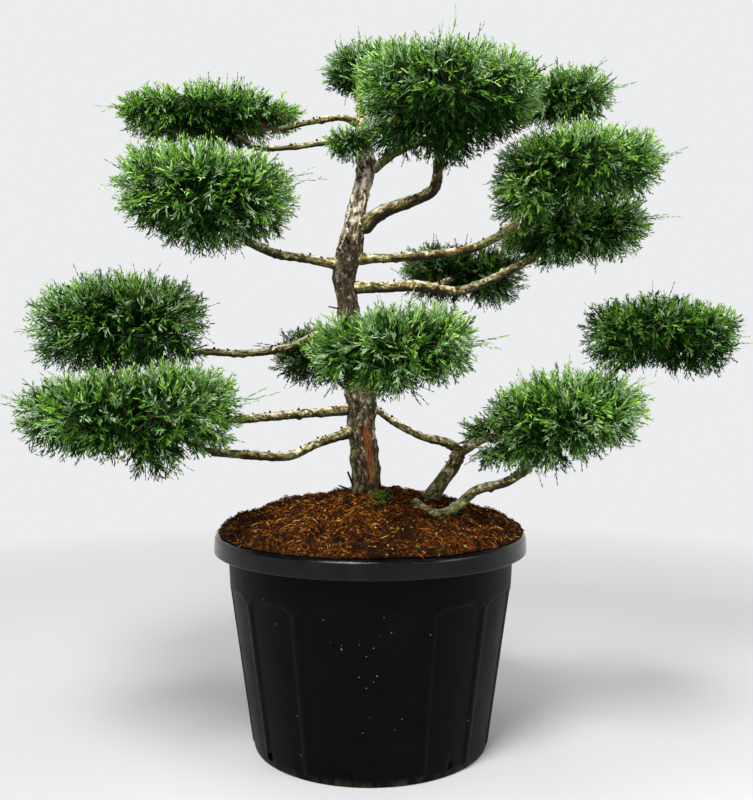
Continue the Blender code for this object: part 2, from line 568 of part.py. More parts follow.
def grow_pad(name, pads, stems, routes, space, seed):
    """A pad: stem, twigs that fork towards the outline, sprays at their ends and the core round them."""
    rng = random.Random(seed)
    pad = pads[name]
    heart = Vector(pad.heart)
    points, directions = pad.sites()
    parts = [tube(name + "_stem", stem, STEM_SIDES, NEEDLES) for stem in stems]

    # main twigs: each serves the few sprays nearest to its own direction
    fork_count = math.ceil(len(points) / TWIGS_PER_FORK)
    forks = [heart + Vector(d) * float(pad.core_reach(d)) * FORK_SHARE for d in directions[:fork_count]]
    for k, fork in enumerate(forks):
        parts.append(twig(f"{name}_fork{k}", heart, fork, TWIG_RADIUS))

    for k, (point, direction) in enumerate(zip(points, directions)):
        site = Vector(point)
        normal = Vector(pad.outward(point))
        wander = Vector((rng.uniform(-1, 1), rng.uniform(-1, 1), rng.uniform(-0.4, 0.9)))
        growth = (normal + Vector(direction) * OUTWARD_SHARE + wander * WANDER_SHARE).normalized()
        face = Vector((rng.uniform(-1, 1), rng.uniform(-1, 1), rng.uniform(-1, 1)))
        scale = rng.uniform(*SPRAY_SCALES)
        tip = site + growth * rng.uniform(*TIP_BEYOND)
        half = SPRAY_WIDTH * scale * HALF_SHARE
        root = tip - growth * SPRAY_LENGTH * scale
        shown = tip - growth * SPRAY_SHOWN
        if not space.free(shown, tip, half, name, pads):
            continue
        space.add(shown, tip, half, name)
        fork = min(forks, key=lambda f: (f - root).length)
        inner = root + growth * (SPRAY_LENGTH * SUNK_SHARE)
        parts.append(twig(f"{name}_twig{k}", fork, inner, TWIG_RADIUS))
        parts.append(blade(f"{name}_spray{k}", root, growth, face, scale))

    for k, (aim, beyond) in enumerate(SPRIGS.get(name, [])):
        aim = Vector(aim).normalized()
        edge = float(pad.reach(np.array(aim)))
        base, end = heart + aim * (edge - SPRAY_LENGTH), heart + aim * (edge + beyond)
        if not space.free(heart + aim * edge, end, SPRAY_WIDTH * SPRIG_BLADE_SCALE / 2, name, pads):
            continue
        space.add(base, end, SPRAY_WIDTH * SPRIG_BLADE_SCALE / 2, name)
        parts.append(twig(f"{name}_sprig{k}", base, heart + aim * (edge + beyond * 0.7), SPRIG_RADIUS))
        lean = aim.orthogonal().normalized()
        for n, share in enumerate(SPRIG_TEETH):
            spread = 0.0 if share == 1.0 else SPRIG_SPREAD * (-1) ** n
            growth = (aim + lean * spread).normalized()
            start = heart + aim * (edge + beyond * share) - growth * SPRAY_LENGTH * SPRIG_BLADE_SCALE
            parts.append(blade(f"{name}_sprig{k}_{n}", start, growth, aim.cross(lean), SPRIG_BLADE_SCALE))

    made = core(name, pad)
    fuse(made, parts, "EXACT")
    for limb, route in routes.items():
        points = [a.lerp(b, t) for (a, _, _), (b, _, _) in zip(route, route[1:]) for t in (0, 0.5, 1)]
        if pad.holds(np.array(points), NEAR_PAD).any():
            cut_away(made, tube("socket", route, limb_sides(limb), NEEDLES, grow=CLEARANCE))
    keep_outer_body(made)
    return made


# ---------------------------------------------------------------- pot and filling

def wall_radius(z):
    return POT_BASE_RADIUS + POT_WALL_SLOPE * z


def inner_radius(z):
    heights = (POT_FLOOR, SHOULDER_Z, POT_HEIGHT)
    return float(np.interp(z, heights, (POT_BASE_RADIUS - POT_WALL, INNER_SHOULDER_RADIUS, LIP_RADIUS)))


def pot_turns():
    """Degrees from the front, and 1 on a rib's crest, for each rib and the middle of each panel."""
    pitch = 360 / RIB_COUNT
    for rib in range(RIB_COUNT):
        middle = RIB_TURN + rib * pitch
        yield middle - RIB_HALF_WIDTH, 0.0
        yield middle, 1.0
        yield middle + RIB_HALF_WIDTH, 0.0
        yield middle + pitch / 2, 0.0


def front_point(turn, radius, z):
    """Point at an angle in degrees from the front, positive to the right."""
    return radius * math.sin(math.radians(turn)), -radius * math.cos(math.radians(turn)), z


def make_pot():
    """Turned shell with ribs, a smooth collar, a folded rim and drain holes."""
    rim_top = POT_HEIGHT - POT_WALL
    rows = [  # height, radius, share of the rib height
        (0.0, POT_BASE_RADIUS - FOOT_FILLET, 0),
        (FOOT_FILLET, wall_radius(FOOT_FILLET), 0),
        (RIB_FOOT_Z, wall_radius(RIB_FOOT_Z), 1),
        (RIB_HEAD_Z, wall_radius(RIB_HEAD_Z), 1),
        (SHOULDER_Z, COLLAR_RADII[0], 0),
        (rim_top, COLLAR_RADII[1], 0),
        (rim_top, RIM_RADIUS - POT_WALL - 0.001, 0),
        (POT_HEIGHT - RIM_DEPTH + 0.001, RIM_RADIUS - POT_WALL, 0),
        (POT_HEIGHT - RIM_DEPTH, RIM_RADIUS, 0),
        (POT_HEIGHT - RIM_CORNER, RIM_RADIUS - 0.002, 0),
        (POT_HEIGHT, RIM_RADIUS - RIM_CORNER, 0),
        (POT_HEIGHT, inner_radius(POT_HEIGHT), 0),
        (SHOULDER_Z, inner_radius(SHOULDER_Z), 0),
        (POT_FLOOR, inner_radius(POT_FLOOR), 0),
    ]
    turns = list(pot_turns())
    verts = [front_point(turn, radius + crest * share * RIB_HEIGHT, z)
             for z, radius, share in rows for turn, crest in turns]
    count = len(turns)
    faces = banded(len(rows) - 1, count)
    faces.append(tuple(range(count)))
    faces.append(tuple(range(len(verts) - count, len(verts))))
    pot = add_object("pot", verts, faces, PLASTIC)
    for hole in range(HOLE_COUNT):
        turn = HOLE_TURN + hole * 360 / HOLE_COUNT
        ends = [Vector(front_point(turn, radius, HOLE_Z)) for radius in (0.270, 0.310)]
        along = (ends[1] - ends[0]).normalized()
        cutter = tube("hole", [(end, along, HOLE_RADIUS) for end in ends], 8, PLASTIC)
        cut_away(pot, cutter)
    return pot


def mound_height(x, y):
    """Height of the filling's surface at a point."""
    radii, heights = zip(*MOUND)
    radius = math.hypot(x, y)
    peak_x, peak_y, extra, spread = MOUND_PEAK
    heap = extra * math.exp(-((x - peak_x) ** 2 + (y - peak_y) ** 2) / spread**2)
    ripple = 0.0035 * math.sin(23 * x + 2) * math.cos(19 * y + 1) * min(1.0, (1 - radius / MOUND[-1][0]) * 6)
    return float(np.interp(radius, radii, heights)) + heap + ripple


def make_filling(cutters):
    """Coir that fills the pot, lies over its rim and heaps up round the trunk, with seats for the stems."""
    # the pot's inner faces, as a share of the way to its corners
    flats = math.cos(math.radians(180 / RIB_COUNT - RIB_HALF_WIDTH) / 2)
    under = POT_HEIGHT + CLEARANCE

    def snug(z):
        return inner_radius(z) * flats - CLEARANCE

    rings = [(z, snug(z)) for z in (POT_FLOOR + CLEARANCE, SHOULDER_Z, under)] + [(under, MOUND[-1][0])]
    turns = [math.tau * i / MOUND_SEGMENTS for i in range(MOUND_SEGMENTS)]
    verts = [(r * math.cos(t), r * math.sin(t), z) for z, r in rings for t in turns]
    for radius, _ in reversed(MOUND[1:]):
        for t in turns:
            x, y = radius * math.cos(t), radius * math.sin(t)
            verts.append((x, y, mound_height(x, y)))
    top = len(verts)
    verts.append((0.0, 0.0, mound_height(0.0, 0.0)))
    count = MOUND_SEGMENTS
    bands = len(rings) + len(MOUND) - 2
    faces = banded(bands, count)
    faces += [(bands * count + i, bands * count + (i + 1) % count, top) for i in range(count)]
    faces.append(tuple(range(count)))
    filling = add_object("filling", verts, faces, COIR)
    for cutter in cutters:
        cut_away(filling, cutter)
    return filling


def seat_cutter(limb):
    """Clears a flat seat for a limb that stands on the filling."""
    x, y, z, radius = limb[0]
    up = Vector((0, 0, 1))
    ends = [Vector((x, y, z - CLEARANCE)), Vector((x, y, z + 0.08))]
    return tube("seat", [(end, up, radius + 0.005) for end in ends], 12, COIR)


# ---------------------------------------------------------------- the plant

def route_to_pad(points, pad):
    """The bough's points with the last one pulled to where it enters the pad's core."""
    last = np.array(points[-1][:3])
    aim = (last - pad.heart) / np.linalg.norm(last - pad.heart)
    end = pad.heart + aim * (float(pad.core_reach(aim)) + STEM_STANDOFF)
    return points[:-1] + [(*end, points[-1][3])]


def stem_into(pad, station):
    """The pad's own stem, butted onto the bough's end and running to the heart."""
    first = continue_from(station)
    heart = Vector(pad.heart)
    bend = first[0] + first[1] * STEM_STANDOFF * 2
    aim = (heart - bend).normalized()
    return [first, (bend, (first[1] + aim).normalized(), first[2]), (heart, aim, first[2] * STEM_TAPER)]


def main():
    for shape in list(bpy.data.objects):
        bpy.data.objects.remove(shape)

    pads = {name: Pad(lobes) for name, lobes in PADS.items()}
    for pad in pads.values():
        pad.neighbours = [
            other for other in pads.values()
            if other is not pad and np.linalg.norm(other.heart - pad.heart) < NEIGHBOUR_DISTANCE]
    carried = {"bough_left_high_rear_low": "pad_left_high_rear", "bough_left_low_bottom": "pad_left_low"}
    routes = {
        "trunk": smooth_route(TRUNK, TRUNK_STEP, first_up=True),
        "side_stem": smooth_route(SIDE_STEM, LIMB_STEP / 2, first_up=True),
    }
    stems = {name: [] for name in pads}
    parents = {}
    for name, (parent, pad_name, points) in BOUGHS.items():
        pad_name = pad_name or carried.get(name)
        points = route_to_pad(points, pads[pad_name])
        routes[name] = smooth_route(points, LIMB_STEP)
        parents[name] = parent
        stems[pad_name].append(stem_into(pads[pad_name], routes[name][-1]))

    stems["pad_crown_left_small"].append(smooth_route(SMALL_PAD_STEM, LIMB_STEP))

    bend = len(CROWN_LOWER) - 1
    crown = smooth_route(route_to_pad(CROWN_LOWER + CROWN_UPPER, pads["pad_crown_front"]), 1.0)
    routes["bough_crown_lower"] = crown[:bend + 1]
    routes["bough_crown_upper"] = [continue_from(crown[bend])] + crown[bend + 1:]
    parents["bough_crown_lower"] = "trunk"
    stems["pad_crown_front"].append(stem_into(pads["pad_crown_front"], crown[-1]))

    space = Space()
    for name, route in routes.items():
        for (a, _, wide), (b, _, thin) in zip(route, route[1:]):
            space.add(a, b, max(wide, thin), name)

    make_pot()
    low_stem = tube("groove", routes["bough_right_low"], LIMB_SIDES, COIR, grow=CLEARANCE)
    make_filling([seat_cutter(TRUNK), seat_cutter(SIDE_STEM), low_stem])
    for name, route in routes.items():
        limb = tube(name, route, limb_sides(name), BARK)
        for parent in parents.get(name, "").split():
            cutter = tube("socket", lengthened(routes[parent]), limb_sides(parent), BARK, grow=CLEARANCE)
            cut_away(limb, cutter)
            keep_outer_body(limb)
    for number, name in enumerate(pads):
        grow_pad(name, pads, stems[name], routes, space, SEED + number)


main()
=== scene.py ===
import math
import random

import bpy
import numpy as np
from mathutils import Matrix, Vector


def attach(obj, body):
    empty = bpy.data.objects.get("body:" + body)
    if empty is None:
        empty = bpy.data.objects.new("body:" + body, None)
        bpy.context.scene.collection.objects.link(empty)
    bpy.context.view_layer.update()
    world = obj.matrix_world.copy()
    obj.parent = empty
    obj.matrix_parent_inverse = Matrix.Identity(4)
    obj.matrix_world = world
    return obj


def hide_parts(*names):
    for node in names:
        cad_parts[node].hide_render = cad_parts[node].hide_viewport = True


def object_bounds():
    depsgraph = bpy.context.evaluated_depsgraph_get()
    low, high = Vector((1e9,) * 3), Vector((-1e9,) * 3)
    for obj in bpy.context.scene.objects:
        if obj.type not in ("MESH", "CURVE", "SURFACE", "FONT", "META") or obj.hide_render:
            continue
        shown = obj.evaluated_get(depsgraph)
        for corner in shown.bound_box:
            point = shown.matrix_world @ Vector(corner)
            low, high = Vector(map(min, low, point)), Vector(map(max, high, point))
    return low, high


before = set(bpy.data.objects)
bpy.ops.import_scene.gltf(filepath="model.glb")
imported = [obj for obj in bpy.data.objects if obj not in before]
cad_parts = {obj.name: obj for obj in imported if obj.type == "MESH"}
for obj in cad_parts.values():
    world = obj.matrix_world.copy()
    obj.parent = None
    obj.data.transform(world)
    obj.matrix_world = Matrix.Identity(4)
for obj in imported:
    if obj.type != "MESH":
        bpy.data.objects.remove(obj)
CAD_LOW, CAD_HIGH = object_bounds()

# ---------------------------------------------------------------- driving dimensions
# Metres, +Z up, the plant's front to -Y: the same frame, limbs and pads as the solids.

PHOTO_WIDTH, PHOTO_HEIGHT = 753, 800
FOCAL_PIXELS = 935
HORIZON_PIXEL = 372  # row of the photograph that lies level with the camera
CAMERA_PLACE = (0.0144, -2.328, 0.910)
# soft lamps: name, place, what they shine at, width and watts
LAMPS = [("key", (-0.9, -2.4, 3.5), (0.0, 0.0, 1.0), 1.5, 190),
         ("top", (0.3, 0.2, 3.9), (0.0, 0.0, 1.0), 2.0, 60),
         ("side", (2.6, -1.6, 2.0), (0.1, 0.0, 0.9), 1.6, 34)]
CEILING_LEVEL = 0.20
FLOOR_RADIUS, FLOOR_SIDES, FLOOR_FADE = 7.0, 64, (1.0, 3.4)  # it fades out between these distances

CLEARANCE = 0.0003
POT_HEIGHT = 0.518
POT_BASE_RADIUS = 0.2854
POT_WALL_SLOPE = 0.144
POT_WALL = 0.004
POT_FLOOR = 0.006
FOOT_FILLET, FOOT_OUT = 0.005, 0.0007
RIB_COUNT = 14
RIB_TURN = -2.6  # degrees from the front to the nearest rib
RIB_HEIGHT = 0.0034
RIB_FOOT_Z = 0.018
SHOULDER_Z = 0.400
COLLAR_RADII, COLLAR_HEIGHT = (0.346, 0.352), 0.114
RIM_RADIUS = 0.385
RIM_DEPTH = 0.045
RIM_CORNER = 0.013
RIM_SEAM, SHELL_SEAM = 0.0080, 0.0078  # over the rim's lower edge, where its skin and the shell's close
SKIN_GAP = 0.0002  # between those two skins
DENT_TURN, DENT_DEPTH, DENT_SPREAD = 15.1, 0.0022, 7.5  # a dent in the rim, ended by a crease
CREASE_DEPTH, CREASE_SPREAD = 0.0008, 1.0
RIM_WAVE, PANEL_HOLLOW = 0.0009, 0.0009
LIP_RADIUS = 0.350
INNER_SHOULDER_RADIUS = 0.340
HOLE_COUNT, HOLE_TURN, HOLE_Z, HOLE_RADIUS = 8, -7.0, 0.026, 0.009
HOLE_SIDES, HOLE_DEPTH, HOLE_OUT = 18, 0.030, 0.289  # of the cutter, and how far out it stands
SPECK_PATCH = (-0.045, -0.335, 0.310)  # middle of the patch of pale specks
MOUND_LIFT = 0.001  # of the filling over the rim's flat top
FILLING_GAP = 0.0016  # between the filling and the pot's round inside

# mound of the filling: (radius, height), out to where it lies over the rim
MOUND = [(0.0, 0.608), (0.098, 0.599), (0.182, 0.586), (0.252, 0.571), (0.308, 0.554), (0.336, 0.543),
         (0.358, 0.533), (0.373, 0.5215)]
CLIPPINGS_AT, CLIPPINGS_SPREAD = (0.026, -0.085), (0.016, 0.020)  # green clippings by the trunk
MOUND_SIDES = 200
RIPPLE_HEIGHT, CLOD_HEIGHT, CRUMB_HEIGHT = 0.0035, 0.0090, 0.0034  # of the mound's relief
FIBRES, CRUMBS, CLIPPINGS = 9200, 3400, 150
FIBRE_LENGTHS, FIBRE_HALF_WIDTHS = (0.008, 0.030), (0.0005, 0.0012)
CRUMB_LENGTHS, CRUMB_HALF_WIDTHS = (0.003, 0.011), (0.0012, 0.0030)
FIBRE_LIFT, CRUMB_LIFT, CLIPPING_LIFT = 0.0016, 0.0022, 0.003
DARK_FIBRES_ABOVE = 0.20  # lumps of noise over this bear dark fibres alone
# how often a fibre and a crumb has each of FIBRE_COLOURS
FIBRE_SHARES, CRUMB_SHARES = (0.26, 0.30, 0.26, 0.12, 0.05, 0.01), (0.36, 0.29, 0.20, 0.09, 0.05, 0.01)
EDGE_RAGGED = 0.0035  # how far the mound's edge wanders in and out over the rim
MOUND_PEAK = (0.035, 0.010, 0.016, 0.070)  # x, y, extra height and spread of the highest heap
GROUND_Z = 0.600

# limbs: centreline points as (x, y, z, radius), in millimetres
TRUNK = [
    (-10, 0, GROUND_Z * 1000, 40.5), (-11, 0, 640, 36), (-17, -2, 725, 33.5), (-23, -4, 775, 34.5),
    (-23, -6, 820, 36), (-28, -6, 860, 36.5), (-45, -4, 975, 31), (-57, 0, 1070, 27.5),
    (-66, 2, 1150, 28.5), (-53, 4, 1210, 31), (-36, 6, 1310, 23), (-17, 8, 1385, 22), (-11, 8, 1425, 22.5),
    (-19, 7, 1470, 19), (-20, 6, 1540, 16.5)]
SIDE_STEM = [(147, 30, 587, 20), (179, 30, 634, 18.8), (206, 30, 672, 18.2), (230, 30, 722, 17.5)]
# bough name: (the limb it grows from, the pad it carries, its centreline)
BOUGHS = {
    "bough_left_high_rear_top": ("trunk", "left_high_rear", [
        (-18, 6, 1522, 8), (-70, 12, 1546, 7.5), (-135, 40, 1546, 7), (-225, 90, 1537, 6.5)]),
    "bough_left_high_rear_low": ("trunk", "left_high_rear", [
        (-14, 8, 1470, 8), (-60, 12, 1484, 7), (-115, 20, 1486, 6.5), (-205, 60, 1483, 6.2),
        (-300, 105, 1494, 6), (-340, 118, 1520, 5.8)]),
    "bough_left_high_front": ("trunk", "left_high_front", [
        (-60, 2, 1178, 13), (-110, -12, 1182, 11.8), (-165, -30, 1190, 11), (-230, -70, 1196, 10.5),
        (-285, -100, 1207, 9.5)]),
    "bough_left_middle": ("trunk", "left_middle", [
        (-52, -2, 1020, 11.8), (-110, -8, 1010, 9.8), (-160, -12, 990, 9), (-235, -12, 965, 8.8),
        (-325, 0, 956, 8.5), (-420, 0, 958, 7.8)]),
    "bough_left_low_top": ("trunk", "left_low", [
        (-30, -6, 825, 12), (-90, -20, 812, 11), (-145, -50, 810, 10.5), (-225, -120, 805, 10),
        (-295, -200, 800, 9.2)]),
    "bough_left_low_bottom": ("trunk", "left_low", [
        (-26, -6, 772, 13), (-82, -30, 752, 11.5), (-140, -80, 733, 10.8), (-195, -130, 712, 10.6),
        (-290, -200, 722, 9.8), (-345, -232, 726, 8.8)]),
    "bough_right_high_front": ("trunk", "right_high_front", [
        (-56, 4, 1190, 13.5), (0, -2, 1192, 12), (75, -12, 1194, 11.2), (175, -40, 1200, 10.8),
        (240, -78, 1206, 10.6), (295, -122, 1226, 10.2), (345, -140, 1262, 9.5)]),
    "bough_right_high_rear": ("trunk", "right_high_rear", [
        (-62, 2, 1121, 15), (10, 4, 1121, 14.4), (95, 10, 1125, 14), (135, 18, 1124, 15),
        (165, 22, 1119, 12.2), (225, 32, 1115, 11.2), (300, 50, 1143, 10.4), (385, 78, 1180, 10)]),
    "bough_centre_rear": ("bough_right_high_rear", "centre_rear", [
        (136, 18, 1124, 9.8), (150, 75, 1128, 9.2), (170, 130, 1136, 8.8), (195, 200, 1148, 8.4)]),
    "bough_crown_rear_right": ("trunk", "crown_rear_right", [
        (-12, 8, 1405, 12), (20, 20, 1430, 10.8), (55, 50, 1463, 10.2), (120, 140, 1515, 9.6),
        (240, 200, 1580, 9), (380, 240, 1650, 8.2)]),
    "bough_crown_rear_left": ("trunk", "crown_rear_left", [
        (-20, 6, 1526, 10.5), (-24, 45, 1562, 9.8), (-30, 90, 1608, 9.2), (-36, 150, 1668, 8.5)]),
    "bough_centre_front": ("trunk", "centre_front", [
        (-40, -4, 935, 12), (-22, -70, 946, 10.8), (6, -130, 956, 10), (30, -190, 962, 9.4)]),
    "bough_centre_left_rear": ("side_stem", "centre_left_rear", [
        (227, 30, 710, 11.8), (194, 38, 731, 10.8), (140, 50, 743, 9.8), (80, 70, 769, 8.8),
        (20, 90, 808, 8), (-40, 112, 852, 7.2), (-100, 140, 890, 6.8)]),
    "bough_right_far": ("side_stem", "right_far", [
        (228, 30, 706, 12.5), (256, 40, 727, 12.2), (301, 62, 746, 11.8), (440, 105, 786, 10.2),
        (560, 118, 840, 9.6), (630, 112, 905, 8.8)]),
    "bough_right_low": ("", "right_low", [
        (106, -78, 596, 11.5), (129, -125, 585, 11.2), (160, -162, 581, 11), (200, -170, 600, 10.8),
        (237, -170, 632, 10.7), (264, -171, 643, 10.6), (312, -176, 656, 10.2), (360, -180, 677, 9.4)]),
    # one limb here, two solids that meet at its bend
    "bough_crown": ("trunk", "crown_front", [
        (-38, 10, 1254, 18.5), (3, -2, 1290, 17.8), (40, -16, 1311, 15.5), (110, -48, 1330, 13.8),
        (147, -70, 1345, 13.4), (159, -82, 1368, 12.4), (161, -95, 1394, 12)]),
}
ROUTE_STEP = 0.020  # of the limbs' centrelines that shoots and twigs keep off
TWO_SOLIDS = {"bough_crown": ("bough_crown_lower", "bough_crown_upper")}
SMALL_PAD_STEM = [(-17, 7, 1476, 6), (-30, -35, 1472, 5.5), (-50, -80, 1464, 3.5)]

# burls on the trunk: height, turn from the front, how far out and how wide
BURLS = [(1.168, 0.15, 0.0055, 0.020), (1.205, -0.9, 0.0060, 0.018), (0.985, -1.2, 0.0050, 0.016),
         (0.860, 1.0, 0.0045, 0.015), (1.050, 0.9, 0.0040, 0.013), (0.700, -1.0, 0.0045, 0.016)]
# broken twigs on the trunk: foot and tip as (x, y, z), and radius
TRUNK_SNAGS = [
    ((-0.040, -0.010, 0.620), (-0.056, -0.030, 0.665), 0.0030),
    ((-0.045, -0.030, 0.618), (-0.078, -0.040, 0.632), 0.0026),
    ((-0.075, -0.004, 1.066), (-0.104, -0.020, 1.071), 0.0022),
    ((-0.052, -0.024, 1.228), (-0.060, -0.040, 1.243), 0.0036),
    ((-0.030, -0.030, 0.905), (-0.036, -0.046, 0.916), 0.0034),
    ((0.004, -0.012, 1.000), (-0.006, -0.034, 1.008), 0.0028),
    ((-0.018, -0.012, 1.405), (-0.030, -0.032, 1.418), 0.0026),
]
TRUNK_MESH, BOUGH_MESH = (0.0040, 72), (0.0045, 22)  # step along the limb and sides round it
SAWN_FROM = 1.537, 1.5395  # heights between which the trunk's bark gives way to its sawn top
TRUNK_KNOBS = 44, 0.0036, 0.009  # how many, their height and spread
NODE_SPACING, NODE_HEIGHT, NODE_SPREAD = 0.017, 0.0030, 0.0046  # on boughs
# heights of the trunk's bark: its strips, shreds, plates and scales, and flutes that fade over its foot
STRIP_HEIGHT, SHRED_HEIGHT, PLATE_HEIGHT, SCALE_HEIGHT = 0.0022, 0.0016, 0.0025, 0.0022
FLUTE_HEIGHT, FLUTE_FADE, BARK_SUNK = 0.007, 0.035, 0.0030
TRUNK_SWELLING, BOUGH_SWELLING, BOUGH_RELIEF = 0.060, 0.085, 0.0008
JOINT_SWELLING, JOINT_FULL_RADIUS, JOINT_FADE = 0.36, 0.010, 0.014  # of a bough where it leaves its parent
TUCKED, TUCKED_OVER = 0.25, (-0.024, 0.004)  # how thin it is in there, and over which gap it widens
STUB_SPACING = 0.009  # length of bough to each try at a stub
STUB_LENGTHS = 0.001, 0.006
STUB_RADII = 0.0018, 0.0038
STUB_KEEP_OFF = 0.006

BLUE_SHARE = 0.42  # of a pad's sprays that are blue-grey, where it has no share of its own
# pads: how much darker than the rest it is in the shade of others, how often its sprays are blue-grey,
# long shoots that stand out of it as (direction, length beyond it), and its lobes as
# (x, y, z, half width, half depth, height above, height below), in millimetres
PADS = {
    "left_high_rear": (-0.09, 0.15, [((-1.0, -0.1, 0.05), 0.055)], [
        (-530, 130, 1586, 140, 180, 63, 75), (-385, 150, 1592, 155, 200, 74, 80),
        (-250, 130, 1588, 80, 120, 45, 60)]),
    "left_high_front": (-0.03, 0.34, [((1.0, -0.1, 0.12), 0.075), ((-1.0, 0.1, 0.1), 0.06)], [
        (-470, -150, 1337, 125, 180, 108, 120), (-300, -130, 1324, 134, 180, 111, 120),
        (-385, -160, 1322, 140, 220, 123, 143)]),
    "left_middle": (0.08, 0.5, [((-1.0, 0.1, -0.12), 0.05)], [
        (-727, 30, 1040, 135, 170, 103, 146), (-542, -20, 1044, 145, 180, 113, 142),
        (-642, 10, 1052, 145, 200, 115, 156), (-470, -20, 966, 62, 120, 45, 45),
        (-788, 30, 966, 58, 110, 45, 45)]),
    "left_low": (0, BLUE_SHARE, [((-1.0, -0.1, 0.1), 0.045), ((1.0, 0.0, 0.1), 0.08)], [
        (-668, -240, 822, 120, 170, 88, 103), (-428, -270, 832, 152, 190, 108, 115),
        (-565, -300, 828, 150, 210, 98, 113), (-474, -270, 760, 88, 120, 65, 87),
        (-375, -260, 775, 85, 120, 55, 60)]),
    "crown_front": (-0.07, 0.48, [((0.2, 0.0, 1.0), 0.105)], [
        (80, -120, 1570, 125, 200, 117, 125), (272, -140, 1572, 140, 200, 82, 140),
        (175, -160, 1572, 150, 240, 92, 160), (185, -140, 1465, 95, 150, 70, 75),
        (62, -150, 1480, 88, 120, 60, 82), (-4, -70, 1612, 50, 100, 62, 48)]),
    "crown_left_small": (-0.14, 0.25, [], [
        (-55, -85, 1460, 64, 66, 44, 50),
        (-8, -92, 1470, 52, 56, 46, 44)]),
    "crown_rear_left": (0.08, BLUE_SHARE, [], [
        (-46, 240, 1724, 94, 130, 95, 58),
        (20, 250, 1740, 105, 120, 90, 75)]),
    "crown_rear_right": (0, BLUE_SHARE, [((1.0, 0.0, 0.18), 0.07)], [
        (547, 250, 1668, 128, 150, 83, 85), (478, 250, 1659, 95, 130, 78, 75)]),
    "right_high_front": (-0.07, BLUE_SHARE, [((1.0, 0.0, 0.12), 0.06)], [
        (415, -90, 1396, 130, 190, 99, 110), (576, -80, 1408, 130, 190, 87, 98),
        (485, -120, 1404, 140, 220, 87, 108), (362, -125, 1322, 86, 135, 88, 78)]),
    "right_high_rear": (-0.12, BLUE_SHARE, [((1.0, 0.0, 0.14), 0.075)], [
        (475, 100, 1285, 125, 170, 112, 111), (612, 130, 1288, 120, 170, 112, 96),
        (400, 90, 1255, 80, 130, 50, 55)]),
    "centre_rear": (0.03, BLUE_SHARE, [], [
        (207, 360, 1207, 136, 150, 82, 108),
        (345, 330, 1193, 102, 150, 82, 108)]),
    "right_far": (0.12, 0.22, [((1.0, 0.1, 0.1), 0.045)], [
        (646, 80, 1018, 105, 160, 86, 120),
        (832, 120, 1013, 130, 170, 90, 124), (735, 90, 1033, 135, 190, 86, 106)]),
    "right_low": (-0.05, 0.58, [((1.0, 0.1, 0.38), 0.045)], [
        (370, -190, 790, 120, 170, 106, 118), (510, -180, 820, 120, 180, 105, 100),
        (435, -220, 815, 120, 200, 110, 115), (276, -150, 772, 78, 90, 50, 50),
        (300, -170, 722, 72, 105, 45, 46)]),
    "centre_front": (-0.03, 0.52, [((1.0, 0.0, 0.05), 0.06)], [
        (-53, -290, 960, 97, 130, 85, 96),
        (126, -315, 968, 112, 160, 102, 100), (45, -340, 963, 115, 170, 98, 117)]),
    "centre_left_rear": (0.1, BLUE_SHARE, [((-1.0, 0.0, 0.25), 0.05)], [
        (-172, 170, 950, 98, 110, 92, 86), (-110, 170, 955, 70, 90, 70, 70)]),
}

LOBE_POWER = 2.3
RAY_START, RAY_END, RAY_STEP = 0.020, 0.450, 0.002
SITE_CANDIDATES = 5200
LEAST_LEAN = 0.3
CORE_INSET, CORE_LEAST_SHARE = 0.028, 0.60
STEM_STANDOFF, STEM_TAPER, STEM_STEP = 0.008, 0.6, 0.012
NEIGHBOUR_DISTANCE = 0.45
BRANCH_AREA = 0.0235  # square metres of outline to each branch inside a pad, as in the solids
TWIGS_PER_FORK, FORK_SHARE, BRANCH_SHARE = 4, 0.50, 0.62
FORK_RADII, BRANCH_RADII = (0.0042, 0.0030), (0.0030, 0.0018)

SPRAY_LENGTH = 0.066
SPRAY_SCALES = 0.70, 1.16
# how far a spray turns from square to the outline: away from the heart, at random and upwards
GROWTH_FROM_HEART, GROWTH_WANDER, GROWTH_RISE = 0.45, 0.38, 0.26
SPRAY_KINDS = 14  # different sprays that are dealt out
SHOOT_HALF_WIDTH = 0.00175
WIDTH_POWERS = 0.4, 2.3  # of a spray's scale that its shoots' width follows, under 1 and over it
# layers of sprays: (share of the way to the outline, square metres to each, scale, added shade);
# the inner ones are few, wide and dark and close the pad against the light behind it
LAYERS = [(1.0, 0.00092, 1.0, 0.02), (0.84, 0.0025, 1.35, 0.46), (0.62, 0.0056, 1.75, 0.70)]
TIP_BEYOND = -0.020, 0.004
STRAY_SHARE, STRAY_BEYOND = 0.025, 0.014  # of sprays that stand out further, and how far
FINE_TWIG, TWIG_INTO_SPRAY = 0.0015, 0.30  # half width, and share of a spray that its twig runs into
SHOOT_KEEP_OFF, TWIG_KEEP_OFF = 0.0015, 0.001  # how far they stay from limbs
NEAR_LIMBS = 0.05  # how far past a pad's ends a limb is still looked at
BOX_SPARE = 0.004  # how far a shoot may stand out of the box of the solids
WHISKER_KINDS = 5
WHISKER_AREA = 0.012  # square metres of outline to each long shoot, besides the sprigs
WHISKERS_BEYOND = 0.002, 0.030
WHISKER_WANDER, WHISKER_RISE = 0.7, 0.25
# a sprig's shoots: how far each reaches, as a share of the longest, and how they part
SPRIG_SHARES, SPRIG_SPREAD, SPRIG_APART = (1.0, 0.72, 0.50, 0.3), 0.22, 0.008
SPRIG_ROOT, WHISKER_ROOT = 0.060, 0.030  # how much of a long shoot lies inside the outline
SPRAY_STANDS = 6  # least shoots left of a spray for it to have a twig
FULL_SIZE_REACH = 0.15  # sprays are smaller on a pad whose outline is nearer its heart than this
SEED = 40


# ---------------------------------------------------------------- small helpers

